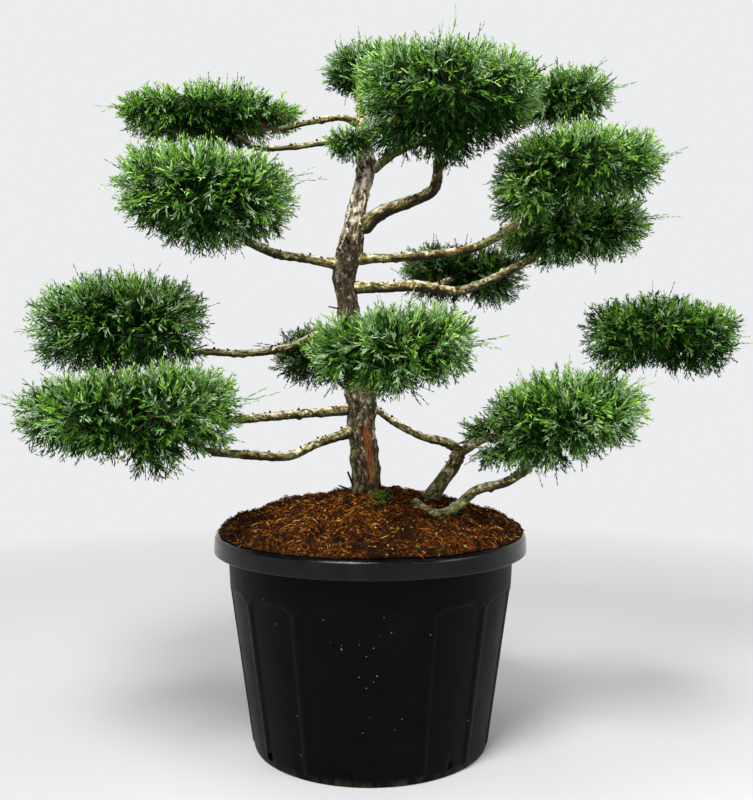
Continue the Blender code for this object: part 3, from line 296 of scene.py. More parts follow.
def rgb(red, green, blue):
    """Linear colour from an sRGB one in 0 to 255."""
    share = np.array([red, green, blue]) / 255
    linear = np.where(share <= 0.04045, share / 12.92, ((share + 0.055) / 1.055) ** 2.4)
    return (*linear.tolist(), 1.0)


def metres(points):
    """Points given in millimetres, in metres."""
    return (np.array(points) / 1000).tolist()


def columns(*values):
    return np.stack(values, axis=-1)


def unit(vectors):
    return vectors / np.linalg.norm(vectors, axis=-1, keepdims=True)


def smoothstep(low, high, value):
    share = np.clip((value - low) / (high - low), 0, 1)
    return share * share * (3 - 2 * share)


def lumps(points, seed):
    """Smooth noise from -1 to 1, about one lump to a unit of length."""
    cell = np.floor(points).astype(np.int64)
    share = points - cell
    share = share * share * (3 - 2 * share)
    total = np.zeros(points.shape[:-1])
    for corner in np.ndindex(2, 2, 2):
        at = cell + corner
        code = at[..., 0] * 73856093 ^ at[..., 1] * 19349663 ^ at[..., 2] * 83492791 ^ (seed * 7919 + 17)
        code = (code ^ code >> 13) * 1274126177 & 0x7FFFFFFF
        code = (code ^ code >> 15) * 668265263 & 0x7FFFFFFF
        value = (code >> 8 & 0xFFFF) / 32767.5 - 1
        total += np.where(corner, share, 1 - share).prod(axis=-1) * value
    return total


def rough(points, seed, octaves):
    """Several sizes of lumps added up."""
    return sum(lumps(points * 2**n, seed + n) / 2**n for n in range(octaves))


def add_piece(name, verts, faces, materials, kinds=None, smooth=True, replaces=()):
    """Mesh object that rides on the plant. kinds gives each face's place in the materials."""
    mesh = bpy.data.meshes.new(name)
    mesh.from_pydata(np.asarray(verts).tolist(), [], faces if isinstance(faces, list) else faces.tolist())
    for material in materials:
        mesh.materials.append(material)
    if kinds is not None:
        mesh.polygons.foreach_set("material_index", np.asarray(kinds, np.int32))
    mesh.polygons.foreach_set("use_smooth", np.full(len(mesh.polygons), smooth))
    mesh.update()
    made = bpy.data.objects.new(name, mesh)
    bpy.context.scene.collection.objects.link(made)
    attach(made, "root")
    if replaces:
        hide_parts(*replaces)
    return made


def grid_faces(rings, count):
    """Quads between closed rings of count corners."""
    ring, turn = np.meshgrid(np.arange(rings - 1), np.arange(count), indexing="ij")
    after = (turn + 1) % count
    corners = [ring * count + turn, ring * count + after,
               (ring + 1) * count + after, (ring + 1) * count + turn]
    return np.stack(corners, axis=-1).reshape(-1, 4)


def add_numbers(made, name, values):
    """Keeps three numbers a vertex, which a material reads."""
    layer = made.data.attributes.new(name, "FLOAT_VECTOR", "POINT")
    layer.data.foreach_set("vector", np.asarray(values, np.float32).ravel())


# ---------------------------------------------------------------- materials

class Nodes:
    """A node tree, built up by short calls."""

    def __init__(self, tree, surface):
        self.tree, self.surface = tree, tree.nodes[surface]

    def fill(self, node, inputs):
        """Sets or links a node's inputs, by their names or places."""
        for socket, value in inputs.items():
            if isinstance(value, bpy.types.NodeSocket):
                self.tree.links.new(value, node.inputs[socket])
            else:
                node.inputs[socket].default_value = value
        return node

    def node(self, kind, inputs, **settings):
        made = self.tree.nodes.new(kind)
        for key, value in settings.items():
            setattr(made, key, value)
        return self.fill(made, inputs)

    def numbers(self, name):
        return self.node("ShaderNodeAttribute", {}, attribute_name=name).outputs["Vector"]

    def place(self, kind="Object"):
        return self.node("ShaderNodeTexCoord", {}).outputs[kind]

    def stretched(self, vector, scale):
        return self.node("ShaderNodeMapping", {"Vector": vector, "Scale": scale}).outputs["Vector"]

    def noise(self, vector, scale, detail=4.0, roughness=0.6, distortion=0.0):
        inputs = {"Vector": vector, "Scale": scale, "Detail": detail, "Roughness": roughness,
                  "Distortion": distortion}
        return self.node("ShaderNodeTexNoise", inputs).outputs["Fac"]

    def cells(self, vector, scale):
        made = self.node("ShaderNodeTexVoronoi", {"Vector": vector, "Scale": scale})
        return made.outputs["Distance"], made.outputs["Color"]

    def ramp(self, value, stops):
        """Colour by value: stops are (value, colour)."""
        made = self.node("ShaderNodeValToRGB", {"Fac": value})
        elements = made.color_ramp.elements
        while len(elements) < len(stops):
            elements.new(1.0)
        for element, (at, colour) in zip(elements, stops):
            element.position = at
            element.color = colour
        return made.outputs["Color"]

    def spread(self, value, low, high, to_low=0.0, to_high=1.0):
        """The value mapped from one range to another, and held inside it."""
        inputs = dict(enumerate((value, low, high, to_low, to_high)))
        return self.node("ShaderNodeMapRange", inputs).outputs["Result"]

    def mix(self, share, first, second):
        return self.node("ShaderNodeMix", {"Factor": share, 6: first, 7: second}, data_type="RGBA").outputs[2]

    def maths(self, operation, first, second):
        return self.node("ShaderNodeMath", {0: first, 1: second}, operation=operation).outputs["Value"]

    def times(self, first, second):
        return self.maths("MULTIPLY", first, second)

    def plus(self, first, second):
        return self.maths("ADD", first, second)

    def parts(self, vector):
        return self.node("ShaderNodeSeparateXYZ", {0: vector}).outputs


class Shader(Nodes):
    """A material and its tree."""

    def __init__(self, name, colour, roughness, specular=0.5):
        self.material = bpy.data.materials.new(name)
        self.material.use_nodes = True
        super().__init__(self.material.node_tree, "Principled BSDF")
        self.set("Base Color", colour)
        self.set("Roughness", roughness)
        self.set("Specular IOR Level", specular)

    def set(self, socket, value):
        self.fill(self.surface, {socket: value})

    def bump(self, height, depth):
        made = self.node("ShaderNodeBump", {"Distance": depth, "Height": height})
        self.set("Normal", made.outputs["Normal"])


def rim_material():
    """The rim's plastic, polished by handling, with a little moss at its right end."""
    shader = Shader("pot_rim", rgb(6, 6, 7), 0.12, 0.18)
    place = shader.place()
    x, y, z = shader.parts(place)
    scuff = shader.noise(place, 16, 5, 0.65)
    dust = shader.noise(place, 60, 5, 0.7)
    damp = shader.times(shader.spread(x, 0.26, 0.36), shader.spread(z, 0.480, 0.512))
    damp = shader.times(damp, shader.spread(dust, 0.38, 0.6, 0.0, 0.6))
    base = shader.mix(shader.spread(scuff, 0.35, 0.75), rgb(3, 3, 4), rgb(16, 17, 19))
    shader.set("Base Color", shader.mix(damp, base, rgb(52, 62, 30)))
    shader.set("Roughness", shader.spread(scuff, 0.40, 0.75, 0.07, 0.20))
    shader.bump(shader.plus(shader.noise(place, 420, 2), shader.times(scuff, 3.0)), 0.0004)
    return shader.material


def plastic_material():
    """Satin black plastic: a faint orange peel, scuffs, dirt at the foot and pale specks."""
    shader = Shader("pot_plastic", rgb(6, 6, 6), 0.44, 0.05)
    place = shader.place()
    scuff = shader.noise(place, 9, 5, 0.65)
    fine = shader.noise(place, 420, 2)
    base = shader.mix(shader.spread(scuff, 0.35, 0.75), rgb(2, 2, 2), rgb(7, 7, 7))
    x, y, z = shader.parts(place)
    dust = shader.noise(shader.stretched(place, (1, 1, 0.25)), 38, 5, 0.7)
    low = shader.spread(z, 0.020, 0.002)
    dirt = shader.times(low, shader.spread(dust, 0.46, 0.64, 0.0, 0.6))
    base = shader.mix(dirt, base, rgb(70, 66, 46))
    # pale specks, thickest on a patch of the front and few elsewhere
    speck, tint = shader.cells(place, 130)
    splash = shader.node("ShaderNodeVectorMath", {0: place, 1: SPECK_PATCH}, operation="DISTANCE")
    often = shader.spread(splash.outputs["Value"], 0.02, 0.11, 0.16, 0.006)
    rare = shader.maths("LESS_THAN", shader.parts(tint)[0], often)
    dot = shader.times(shader.spread(speck, 0.16, 0.11), rare)
    shader.set("Base Color", shader.mix(dot, base, rgb(150, 150, 146)))
    shader.set("Roughness", shader.spread(scuff, 0.3, 0.8, 0.38, 0.54))
    shader.bump(shader.plus(fine, shader.times(scuff, 2.0)), 0.0004)
    return shader.material


def coir_material():
    """The filling under its loose fibres: brown crumbs, with painted shade in the gaps between them."""
    shader = Shader("coir", rgb(60, 32, 12), 0.95, 0.10)
    place = shader.place()
    crumb = shader.noise(place, 150, 6, 0.75)
    patch = shader.noise(place, 22, 5, 0.7)
    # the darkest steps of the crumbs' ramp are painted shade in the gaps between them
    tone = shader.ramp(crumb, [(0.38, rgb(8, 3, 0)), (0.48, rgb(46, 21, 2)), (0.57, rgb(104, 54, 6)),
                               (0.70, rgb(150, 92, 26))])
    shader.set("Base Color", shader.mix(shader.spread(patch, 0.42, 0.60, 0.0, 0.85), tone, rgb(18, 9, 3)))
    shader.bump(crumb, 0.005)
    return shader.material


def bark_material(name, dark, middle, pale, glint, bump_depth):
    """Bark that reads its place along and round the limb from "grain", and three tints from "tint".

    The tints are rust-red wood, pale wood (or, below 0, grime) and moss. On the boughs the pale wood is also
    a painted highlight on top and the grime a painted shade underneath; on the trunk the palest wood is
    partly painted light.
    """
    shader = Shader(name, middle, 0.86, 0.22)
    grain = shader.numbers("grain")
    streak = shader.noise(shader.stretched(grain, (1, 1, 0.30)), 115, 6, 0.8, 0.8)
    patch = shader.noise(shader.stretched(grain, (1, 1, 0.5)), 60, 5, 0.75)
    fleck = shader.noise(grain, 150, 5, 0.8)
    flake = shader.noise(shader.stretched(grain, (1, 1, 0.7)), 82, 4, 0.7, 0.4)
    tone = shader.ramp(streak, [(0.40, dark), (0.48, middle), (0.57, pale), (0.68, glint)])
    tone = shader.mix(shader.spread(patch, 0.50, 0.56, 0.0, 0.85), tone, dark)
    tone = shader.mix(shader.spread(flake, 0.56, 0.60), tone, glint)
    tone = shader.mix(shader.spread(fleck, 0.465, 0.405, 0.0, 0.94), tone, rgb(18, 14, 7))
    orange, light, green = shader.parts(shader.numbers("tint"))
    rust = shader.ramp(streak, [(0.38, rgb(58, 32, 14)), (0.50, rgb(138, 78, 32)), (0.64, rgb(182, 120, 66))])
    tone = shader.mix(shader.times(orange, shader.spread(patch, 0.2, 0.5, 0.6, 1.0)), tone, rust)
    # pale wood, its near-white top partly painted light for the shaded upper trunk; on the boughs' tops a
    # painted highlight
    wood = shader.ramp(flake, [(0.42, rgb(36, 24, 8)), (0.46, rgb(172, 146, 98)), (0.51, rgb(255, 248, 224))])
    tone = shader.mix(shader.spread(light, 0.0, 1.0), tone, wood)
    # grime, cracks and the trunk's darker middle; under the boughs, painted shade
    dirt = shader.mix(fleck, rgb(14, 11, 6), rgb(44, 36, 20))
    tone = shader.mix(shader.spread(light, 0.0, -1.0), tone, dirt)
    moss = shader.ramp(fleck, [(0.38, rgb(54, 60, 30)), (0.62, rgb(118, 128, 78))])
    tone = shader.mix(shader.times(green, shader.spread(fleck, 0.40, 0.56)), tone, moss)
    shader.set("Base Color", tone)
    shader.bump(shader.plus(streak, shader.times(fleck, 0.6)), bump_depth)
    return shader.material


def plain_material(name, colour, roughness, specular=0.35):
    """For joined pieces of many small things: their pattern is in how the colours are dealt out."""
    return Shader(name, colour, roughness, specular).material


# needle colours: the dark ones stand for painted shade and the pale ones partly for painted light, dealt out
# by how much each spray would be lit; blue-grey and brown are the foliage's own
NEEDLE_COLOURS = {
    "shade": rgb(11, 34, 3), "deep": rgb(29, 64, 10), "mid": rgb(70, 110, 42), "blue": rgb(88, 124, 74),
    "grey": rgb(146, 174, 124), "fresh": rgb(98, 144, 48), "yellow": rgb(118, 166, 56),
    "pale": rgb(158, 196, 104), "brown": rgb(86, 66, 30),
}
SHADED_SHARE, SHADED_DROP = 0.25, 0.34  # sprays that lie in the shade of others, and how much it takes off
BROWN_SHARE = 0.003  # of the sprays
# how much a spray is lit, from 0 to 1, which picks its colours as painted light and shade: on a wall, more on
# top, and by patches of the pad
LIT_LEVEL, LIT_BY_SLOPE, LIT_BY_PATCH = 0.67, 0.12, 0.17
UNDERSIDE_SHADE, REAR_SHADE, SHADE_BY_SLOPE = 0.24, 0.04, 0.45
CROWN_UNDERSIDE_SHADE, CROWN_SHADE_BELOW = 0.30, (1.51, 1.44)  # painted shade on the crown's underside, and from which height down
SPRIG_LIT, WHISKER_LIT, WHISKER_LIT_BY_SLOPE = 0.66, 0.48, 0.30
LIT_JITTER = 0.17
LADDER_STEPS = 0.16, 0.36, 0.58, 0.80  # from which exposure on a spray has the next ladder
FRESH_SHARE = 0.45  # of the sprays most lit
TONE_STEPS, TONE_JITTER = (0.46, 0.78), (-0.26, 0.22)  # where a shoot takes the ladder's next colour
BROWNED_END = 0.11, -0.28, 0.06  # on the pad left_high_rear: share, and from which x over what width
# a spray's colours from its foot to its tips: the foot a step darker as painted shade, the tips a step paler,
# partly fresh growth and partly painted light
LADDERS = {
    "shade": ("shade", "shade", "deep"), "deep": ("shade", "deep", "mid"), "mid": ("shade", "mid", "fresh"),
    "blue": ("deep", "blue", "grey"), "fresh": ("shade", "mid", "yellow"),
    "yellow": ("deep", "fresh", "pale"), "brown": ("shade", "brown", "brown"),
}
FIBRE_COLOURS = {
    "dark": rgb(18, 7, 0), "brown": rgb(64, 30, 3), "orange": rgb(124, 66, 6),
    "rust": rgb(156, 94, 20), "straw": rgb(190, 146, 62), "green": rgb(66, 98, 34),
}


# ---------------------------------------------------------------- limbs

def smooth_route(points, step):
    """Stations along a smooth curve through (x, y, z, radius) points: places, tangents and radii."""
    knots = np.array(points, float)
    padded = np.vstack([2 * knots[0] - knots[1], knots, 2 * knots[-1] - knots[-2]])
    curve = [knots[0]]
    for a, b, c, d in zip(padded, padded[1:], padded[2:], padded[3:]):
        count = max(1, round(float(np.linalg.norm((c - b)[:3])) / step))
        for t in np.arange(1, count + 1) / count:
            curve.append(0.5 * (2 * b + (c - a) * t + (2 * a - 5 * b + 4 * c - d) * t**2
                                + (3 * b - a - 3 * c + d) * t**3))
    curve = np.array(curve)
    return curve[:, :3], unit(np.gradient(curve[:, :3], axis=0)), curve[:, 3]


def frames_along(tangents):
    """Two directions square to each tangent, turning as little as they can."""
    side = unit(np.cross(tangents[0], (0.31, 0.87, 0.38)))
    sides = []
    for tangent in tangents:
        side = unit(side - tangent * side.dot(tangent))
        sides.append(side)
    sides = np.array(sides)
    return sides, np.cross(tangents, sides)


def gap_to_route(points, route):
    """How far each point lies outside a limb's skin, and how far along the limb."""
    places, _, radii = route
    starts, runs = places[:-1], np.diff(places, axis=0)
    share = ((points[:, None] - starts) * runs).sum(axis=-1) / (runs * runs).sum(axis=-1)
    share = share.clip(0, 1)
    near = starts + runs * share[..., None]
    wide = radii[:-1] + np.diff(radii) * share
    return (np.linalg.norm(points[:, None] - near, axis=-1) - wide).min(axis=1)


class Limb:
    """The skin of one limb, with its bark's relief."""

    def __init__(self, points, step, sides):
        self.places, self.tangents, self.radii = smooth_route(points, step)
        self.side, self.across = frames_along(self.tangents)
        self.sides = sides
        steps = np.linalg.norm(np.diff(self.places, axis=0), axis=1)
        self.along = np.concatenate([[0], np.cumsum(steps)])
        turn = math.tau * np.arange(sides) / sides
        self.turn, self.run = np.meshgrid(turn, self.along)
        round_x, round_y = np.cos(self.turn), np.sin(self.turn)
        self.out = round_x[..., None] * self.side[:, None] + round_y[..., None] * self.across[:, None]
        self.wide = self.radii[:, None] * np.ones(sides)
        self.grain = columns(round_x * self.wide, round_y * self.wide, self.run)
        self.tint = np.zeros(self.out.shape)

    def lumps(self, round_scale, along_scale, seed, octaves=1):
        """Noise on the skin, by lumps to a radian round the limb and to a metre along it."""
        places = [np.cos(self.turn) * round_scale, np.sin(self.turn) * round_scale, self.run * along_scale]
        return rough(columns(*places), seed, octaves)

    def knobs(self, count, height, spread, rng):
        """Nodes and old scars: round bumps dealt out along the limb."""
        lift = np.zeros(self.turn.shape)
        for _ in range(count):
            at = rng.uniform(0.06, 0.97) * self.along[-1]
            turn = rng.uniform(0, math.tau)
            apart = np.abs((self.turn - turn + math.pi) % math.tau - math.pi) * self.wide
            size = spread * rng.uniform(0.6, 1.5)
            bump = np.exp(-(apart**2 * 0.8 + (self.run - at) ** 2) / size**2)
            lift += height * rng.uniform(0.5, 1.3) * bump
        return lift

    def verts(self):
        return (self.places[:, None] + self.out * self.wide[..., None]).reshape(-1, 3)


def end_caps(count, rings):
    """The faces that close the first and the last ring."""
    last = (rings - 1) * count
    return [tuple(range(count)), tuple(range(last, last + count))]


def add_limb(name, limb, material, replaces):
    verts = limb.verts()
    rings = len(limb.places)
    faces = grid_faces(rings, limb.sides).tolist() + end_caps(limb.sides, rings)
    made = add_piece(name, verts, faces, [material], replaces=replaces)
    add_numbers(made, "grain", limb.grain.reshape(-1, 3))
    add_numbers(made, "tint", limb.tint.reshape(-1, 3))
    return made


def make_trunk(points, material):
    """The trunk: fluted foot, shredding strips of bark, burls, a bare rust-red strip and a sawn top."""
    limb = Limb(points, *TRUNK_MESH)
    height = limb.places[:, 2][:, None] + np.zeros(limb.sides)
    front = np.arctan2(limb.out[..., 0], -limb.out[..., 1])  # 0 to the front, positive to the right
    strips = limb.lumps(4.2, 13, 5)
    shreds = limb.lumps(9.0, 34, 9, 2)
    plates = smoothstep(0.05, 0.26, limb.lumps(3.2, 28, 21))
    swelling = limb.lumps(0.9, 17, 33, 3)
    foot = np.exp(-(height - GROUND_Z) / FLUTE_FADE)
    flutes = limb.lumps(1.9, 5, 41) * foot
    bare = orange_strip(limb, height, front)
    covered = 1 - 0.75 * bare
    relief = (STRIP_HEIGHT * strips + SHRED_HEIGHT * shreds + PLATE_HEIGHT * plates) * covered
    scales = np.abs(limb.lumps(5.0, 58, 97, 2))
    limb.wide = (limb.wide * (1 + TRUNK_SWELLING * swelling) + relief + SCALE_HEIGHT * scales * covered
                 - BARK_SUNK + FLUTE_HEIGHT * flutes)
    limb.wide += limb.knobs(*TRUNK_KNOBS, random.Random(SEED))
    grime = np.zeros(limb.turn.shape)
    for at, side, out, spread in BURLS:
        apart = ((front - side + math.pi) % math.tau - math.pi) * limb.radii[:, None]
        bump = np.exp(-(apart**2 + (height - at) ** 2) / spread**2)
        limb.wide += out * bump * (1 + 0.5 * shreds)
        grime = np.maximum(grime, bump)
    peeled = smoothstep(-0.10, 0.22, limb.lumps(1.6, 24, 51))
    # pale peeled wood on the upper trunk, its near-white partly painted light where the pads shade it
    upper = smoothstep(1.22, 1.36, height) * (0.35 + 0.65 * peeled)
    cracks = smoothstep(0.00, 0.40, limb.lumps(2.6, 40, 57, 3)) * 0.70
    moss = smoothstep(0.22, 0.55, limb.lumps(1.5, 18, 61)) * 0.75 * (height < 1.2)
    cut = smoothstep(*SAWN_FROM, height)
    # darker from 1.26 m down: most between 1.06 and 1.16 m, less below 0.96 m
    damp = smoothstep(1.26, 1.16, height) * (0.30 + 0.42 * smoothstep(0.96, 1.06, height))
    dark = np.maximum(cracks * (1 - 0.6 * upper), np.maximum(grime * 0.7, damp))
    light = np.maximum(upper, cut) - dark * (1 - cut)
    limb.tint = columns(bare, light * (1 - bare * (light < 0)), moss * (1 - bare))
    add_limb("bark_trunk", limb, material, ["trunk"])


def orange_strip(limb, height, front):
    """1 where the old bark has come away, mostly low on the front's right side."""
    wander = 0.35 * lumps(columns(height * 9, height * 0, height * 0), 71)
    ragged = 0.34 * limb.lumps(5, 30, 81, 3)
    low = smoothstep(0.50, 0.20, np.abs(front - 0.42 - wander * 0.4) + ragged * 0.6)
    low *= smoothstep(0.622, 0.650, height + 0.02 * ragged) * smoothstep(0.83, 0.73, height + 0.05 * ragged)
    high = smoothstep(0.46, 0.74, limb.lumps(1.7, 14, 91)) * 0.55
    return np.maximum(low, high * smoothstep(0.80, 0.92, height) * smoothstep(1.50, 1.30, height))


def make_bough(name, points, parent_route, material, replaces, number, snags):
    """One bough: nodes, scars, fine shreds, stubs, a collar where it leaves its parent, and a painted
    highlight on its top and painted shade under it.
    """
    rng = random.Random(SEED + number)
    limb = Limb(points, *BOUGH_MESH)
    flat = limb.places.repeat(limb.sides, axis=0)
    swelling = limb.lumps(0.8, 30, 100 + number, 3)
    strips = limb.lumps(3.0, 42, 200 + number)
    flakes = limb.lumps(3.6, 120, 300 + number, 2)
    limb.wide = limb.wide * (1 + BOUGH_SWELLING * swelling) + BOUGH_RELIEF * strips + BOUGH_RELIEF * flakes
    nodes = limb.knobs(round(limb.along[-1] / NODE_SPACING), NODE_HEIGHT, NODE_SPREAD, rng)
    limb.wide += nodes
    if parent_route is not None:
        gap = gap_to_route(flat, parent_route).reshape(limb.turn.shape)
        collar = JOINT_SWELLING * min(1.0, JOINT_FULL_RADIUS / points[0][3])
        limb.wide *= 1 + collar * np.exp(-gap.clip(0) / JOINT_FADE)
        inside = gap_to_route(limb.places, parent_route)[:, None]
        limb.wide *= TUCKED + (1 - TUCKED) * smoothstep(*TUCKED_OVER, inside)
    above = limb.out[..., 2]
    height = limb.places[:, 2][:, None] + np.zeros(limb.sides)
    # painted light and shade: the upper side gets the pale tint as a painted highlight and the underside the
    # dark tint as painted shade, broken by random patches; the node marks and spots are the bark's own dark
    # marks
    lit = above + 0.5 * limb.lumps(1.2, 30, 400 + number)
    spots = smoothstep(0.15, 0.50, limb.lumps(1.6, 75, 700 + number, 2))
    light = smoothstep(0.15, 0.85, lit) * 0.68 - smoothstep(0.10, -0.55, lit) * 0.95
    light -= smoothstep(0.0016, 0.0034, nodes) * 0.80 + spots * 0.55
    moss = smoothstep(0.05, 0.55, limb.lumps(1.2, 22, 500 + number)) * 0.75
    moss = np.maximum(moss, smoothstep(0.64, 0.60, height) * 0.9)
    rust = smoothstep(0.40, 0.72, limb.lumps(1.4, 17, 600 + number)) * 0.55
    limb.tint = columns(rust, light, moss)
    add_limb("bark_" + name, limb, material, replaces)
    for _ in range(round(limb.along[-1] / STUB_SPACING)):
        ring, turn = rng.randrange(4, len(limb.places) - 3), rng.randrange(limb.sides)
        if limb.out[ring, turn, 2] < rng.uniform(-0.6, 0.7):
            continue
        lean = limb.out[ring, turn] + limb.tangents[ring] * rng.uniform(-0.1, 0.7)
        start = limb.places[ring] + limb.out[ring, turn] * limb.wide[ring, turn] * 0.7
        if parent_route is not None and gap_to_route(start[None], parent_route)[0] < STUB_KEEP_OFF:
            continue
        reach = limb.wide[ring, turn] * 0.3 + rng.uniform(*STUB_LENGTHS)
        snags.append((start, start + unit(lean) * reach, rng.uniform(*STUB_RADII)))


def make_snags(snags, materials):
    """Stubs of cut twigs on the boughs and broken ones on the trunk, pale at the cut."""
    starts, ends, widths = (np.array(column) for column in zip(*snags))
    rind = taper_meshes(starts, ends, widths * 1.25, widths * 0.9)
    along = unit(ends - starts)
    wood = taper_meshes(ends - along * 0.001, ends + along * 0.0006, widths * 0.55, widths * 0.5)
    verts = np.concatenate([rind[0], wood[0]])
    faces = np.concatenate([rind[1], wood[1] + len(rind[0])])
    kinds = (np.arange(len(faces)) >= len(rind[1])).astype(int)
    add_piece("bark_stubs", verts, faces, materials, kinds, smooth=False)


# ---------------------------------------------------------------- pads

class Pad:
    """The clipped outline of a mass of foliage: lobes seen from one heart, cut off at its neighbours."""

    def __init__(self, shade, blue, sprigs, lobes):
        self.shade, self.blue, self.sprigs = shade, blue, sprigs
        self.lobes = np.array(metres(lobes))
        size = self.lobes[:, 3] * self.lobes[:, 4] * (self.lobes[:, 5] + self.lobes[:, 6])
        self.heart = (self.lobes[:, :3] * size[:, None]).sum(axis=0) / size.sum()
        self.neighbours = []
        self.outline = None

    def depth(self, points):
        """How far inside the lobes each point lies: under 1 is inside."""
        values = []
        for x, y, z, wide, deep, above, below in self.lobes:
            offset = points - np.array([x, y, z])
            tall = np.where(offset[..., 2] > 0, above, below)
            half_sizes = columns(np.full_like(tall, wide), np.full_like(tall, deep), tall)
            values.append(((np.abs(offset) / half_sizes) ** LOBE_POWER).sum(axis=-1) ** (1 / LOBE_POWER))
        return np.min(values, axis=0)

    def reach(self, directions):
        """Distance from the heart to the outline along unit directions."""
        steps = np.arange(RAY_START, RAY_END, RAY_STEP)
        rays = self.heart + directions[..., None, :] * steps[:, None]
        depth = self.depth(rays)
        inside = depth <= 1.0
        for other in self.neighbours:
            inside &= depth < other.depth(rays)
        last = steps.size - 1 - np.argmax(inside[..., ::-1], axis=-1)
        return steps[last]

    def core_reach(self, directions):
        outline = self.reach(directions)
        return np.maximum(outline - CORE_INSET, outline * CORE_LEAST_SHARE)

    def outward(self, points):
        """Unit normals of the outline near the points."""
        steps = RAY_STEP * np.eye(3)
        return unit(columns(*[self.depth(points + step) - self.depth(points - step) for step in steps]))

    def candidates(self):
        """Many points of the outline, seen from the heart, and the area that they share."""
        if self.outline is not None:
            return self.outline
        index = np.arange(SITE_CANDIDATES) + 0.5
        rise = 1 - 2 * index / SITE_CANDIDATES
        turn = index * math.pi * (3 - math.sqrt(5))
        flat = np.sqrt(1 - rise**2)
        directions = columns(flat * np.cos(turn), flat * np.sin(turn), rise)
        reach = self.reach(directions)
        points = self.heart + directions * reach[:, None]
        lean = (directions * self.outward(points)).sum(axis=-1).clip(LEAST_LEAN)
        area = (4 * math.pi / SITE_CANDIDATES * reach**2 / lean).sum()
        self.outline = points, directions, area
        return self.outline

    def sites(self, area_each):
        """Evenly spread points of the outline, and the direction of each from the heart."""
        points, directions, area = self.candidates()
        chosen = [0]
        apart = np.linalg.norm(points - points[0], axis=-1)
        while len(chosen) < round(area / area_each):
            chosen.append(int(np.argmax(apart)))
            apart = np.minimum(apart, np.linalg.norm(points - points[chosen[-1]], axis=-1))
        return points[chosen], directions[chosen]


def bent_line(bend, lift):
    """Places along a spray, by the share of its length."""
    return lambda t: np.array([t, bend * t * t, lift * t * t])


def spray_shoots(rng):
    """Shoots of one spray in units of its length: starts, ends, half widths and tones from foot to tip.

    x runs along the spray, y across it and z out of its plane.
    """
    axis = bent_line(rng.uniform(-0.22, 0.22), rng.uniform(-0.10, 0.22))
    shoots = [(axis(t), axis(min(1.0, t + 0.36)), 1.0, t) for t in (0.08, 0.38, 0.68)]
    side, t = 1, 0.18
    while t < 0.93:
        side = -side
        length = (0.42 * (1 - t) ** 0.75 + 0.13) * rng.uniform(0.75, 1.2)
        angle = math.radians(rng.uniform(18, 38))
        aim = np.array([math.cos(angle), side * math.sin(angle), rng.uniform(-0.50, 0.60)])
        aim = aim / np.linalg.norm(aim)
        root, end = axis(t), axis(t) + aim * length
        shoots.append((root, end, 0.95, 0.15 + 0.85 * end[0]))
        for share in (0.36, 0.64):
            if length * (1 - share) < 0.13:
                continue
            fork = root + aim * length * share
            turn = rng.choice((-1, 1)) * rng.uniform(0.36, 0.66)
            twist = np.array([-aim[1], aim[0], rng.uniform(-0.6, 0.6)])
            tip = fork + unit(aim + twist * turn) * length * (1 - share) * rng.uniform(0.8, 1.1)
            shoots.append((fork, tip, 0.85, 0.20 + 0.80 * tip[0]))
        t += rng.uniform(0.085, 0.125)
    return [np.array(column) for column in zip(*shoots)]


def whisker_shoots(rng):
    """A slim long shoot that stands out of a pad, in the same units as a spray."""
    axis = bent_line(rng.uniform(-0.16, 0.16), rng.uniform(-0.02, 0.16))
    steps = np.linspace(0, 1, 6)
    shoots = [(axis(a), axis(b + 0.04), 0.85, b) for a, b in zip(steps, steps[1:])]
    side = 1
    for t in np.arange(0.30, 0.97, 0.105):
        side = -side
        angle = math.radians(rng.uniform(18, 34))
        aim = np.array([math.cos(angle), side * math.sin(angle), rng.uniform(-0.25, 0.3)])
        end = axis(t) + aim * rng.uniform(0.07, 0.15) * (1.2 - 0.6 * t)
        shoots.append((axis(t), end, 0.72, 0.2 + 0.8 * t))
    return [np.array(column) for column in zip(*shoots)]


CORNERS = [(math.cos(turn), math.sin(turn)) for turn in (0.5, 0.5 + math.tau / 3, 0.5 + math.tau * 2 / 3)]
SHOOT_FACES = [(0, 2, 1), (3, 1, 2), (0, 1, 3), (0, 3, 2)]
HAIR_FACES = [(0, 2, 1), (0, 3, 2), (0, 1, 3), (4, 1, 2), (4, 2, 3), (4, 3, 1)]
TAPER_FACES = [(0, 1, 4), (0, 4, 3), (1, 2, 5), (1, 5, 4), (2, 0, 3), (2, 3, 5), (0, 2, 1), (3, 4, 5)]
SHOOT_WAIST = 0.36  # where along a shoot it is widest
SHOOT_KEEL = 0.55  # how far a shoot's two edges are folded back from its ridge, as a share of its half width


def square_to(along, rolls=None):
    """Two directions square to each other and to the way along."""
    reference = np.where(np.abs(along[:, 2:]) < 0.9, (0.0, 0.0, 1.0), (1.0, 0.0, 0.0))
    side = unit(np.cross(along, reference))
    across = np.cross(along, side)
    if rolls is None:
        return side, across
    cos, sin = np.cos(rolls)[:, None], np.sin(rolls)[:, None]
    return side * cos + across * sin, across * cos - side * sin


def many(corners, pattern):
    """One small mesh many times over: its corners, each as places, and its faces."""
    verts = np.stack(corners, axis=1)
    faces = np.array(pattern) + len(corners) * np.arange(len(verts))[:, None, None]
    return verts.reshape(-1, 3), faces.reshape(-1, 3)


def three_sides(places, side, across, widths):
    return [places + (side * c + across * s) * widths[:, None] for c, s in CORNERS]


def shoot_meshes(starts, ends, half_widths, rolls):
    """Scaly shoots as slim folded blades, widest at the waist."""
    side, across = square_to(unit(ends - starts), rolls)
    half = half_widths[:, None]
    waist = starts + (ends - starts) * SHOOT_WAIST - across * half * SHOOT_KEEL
    return many([starts, waist + side * half, waist - side * half, ends], SHOOT_FACES)


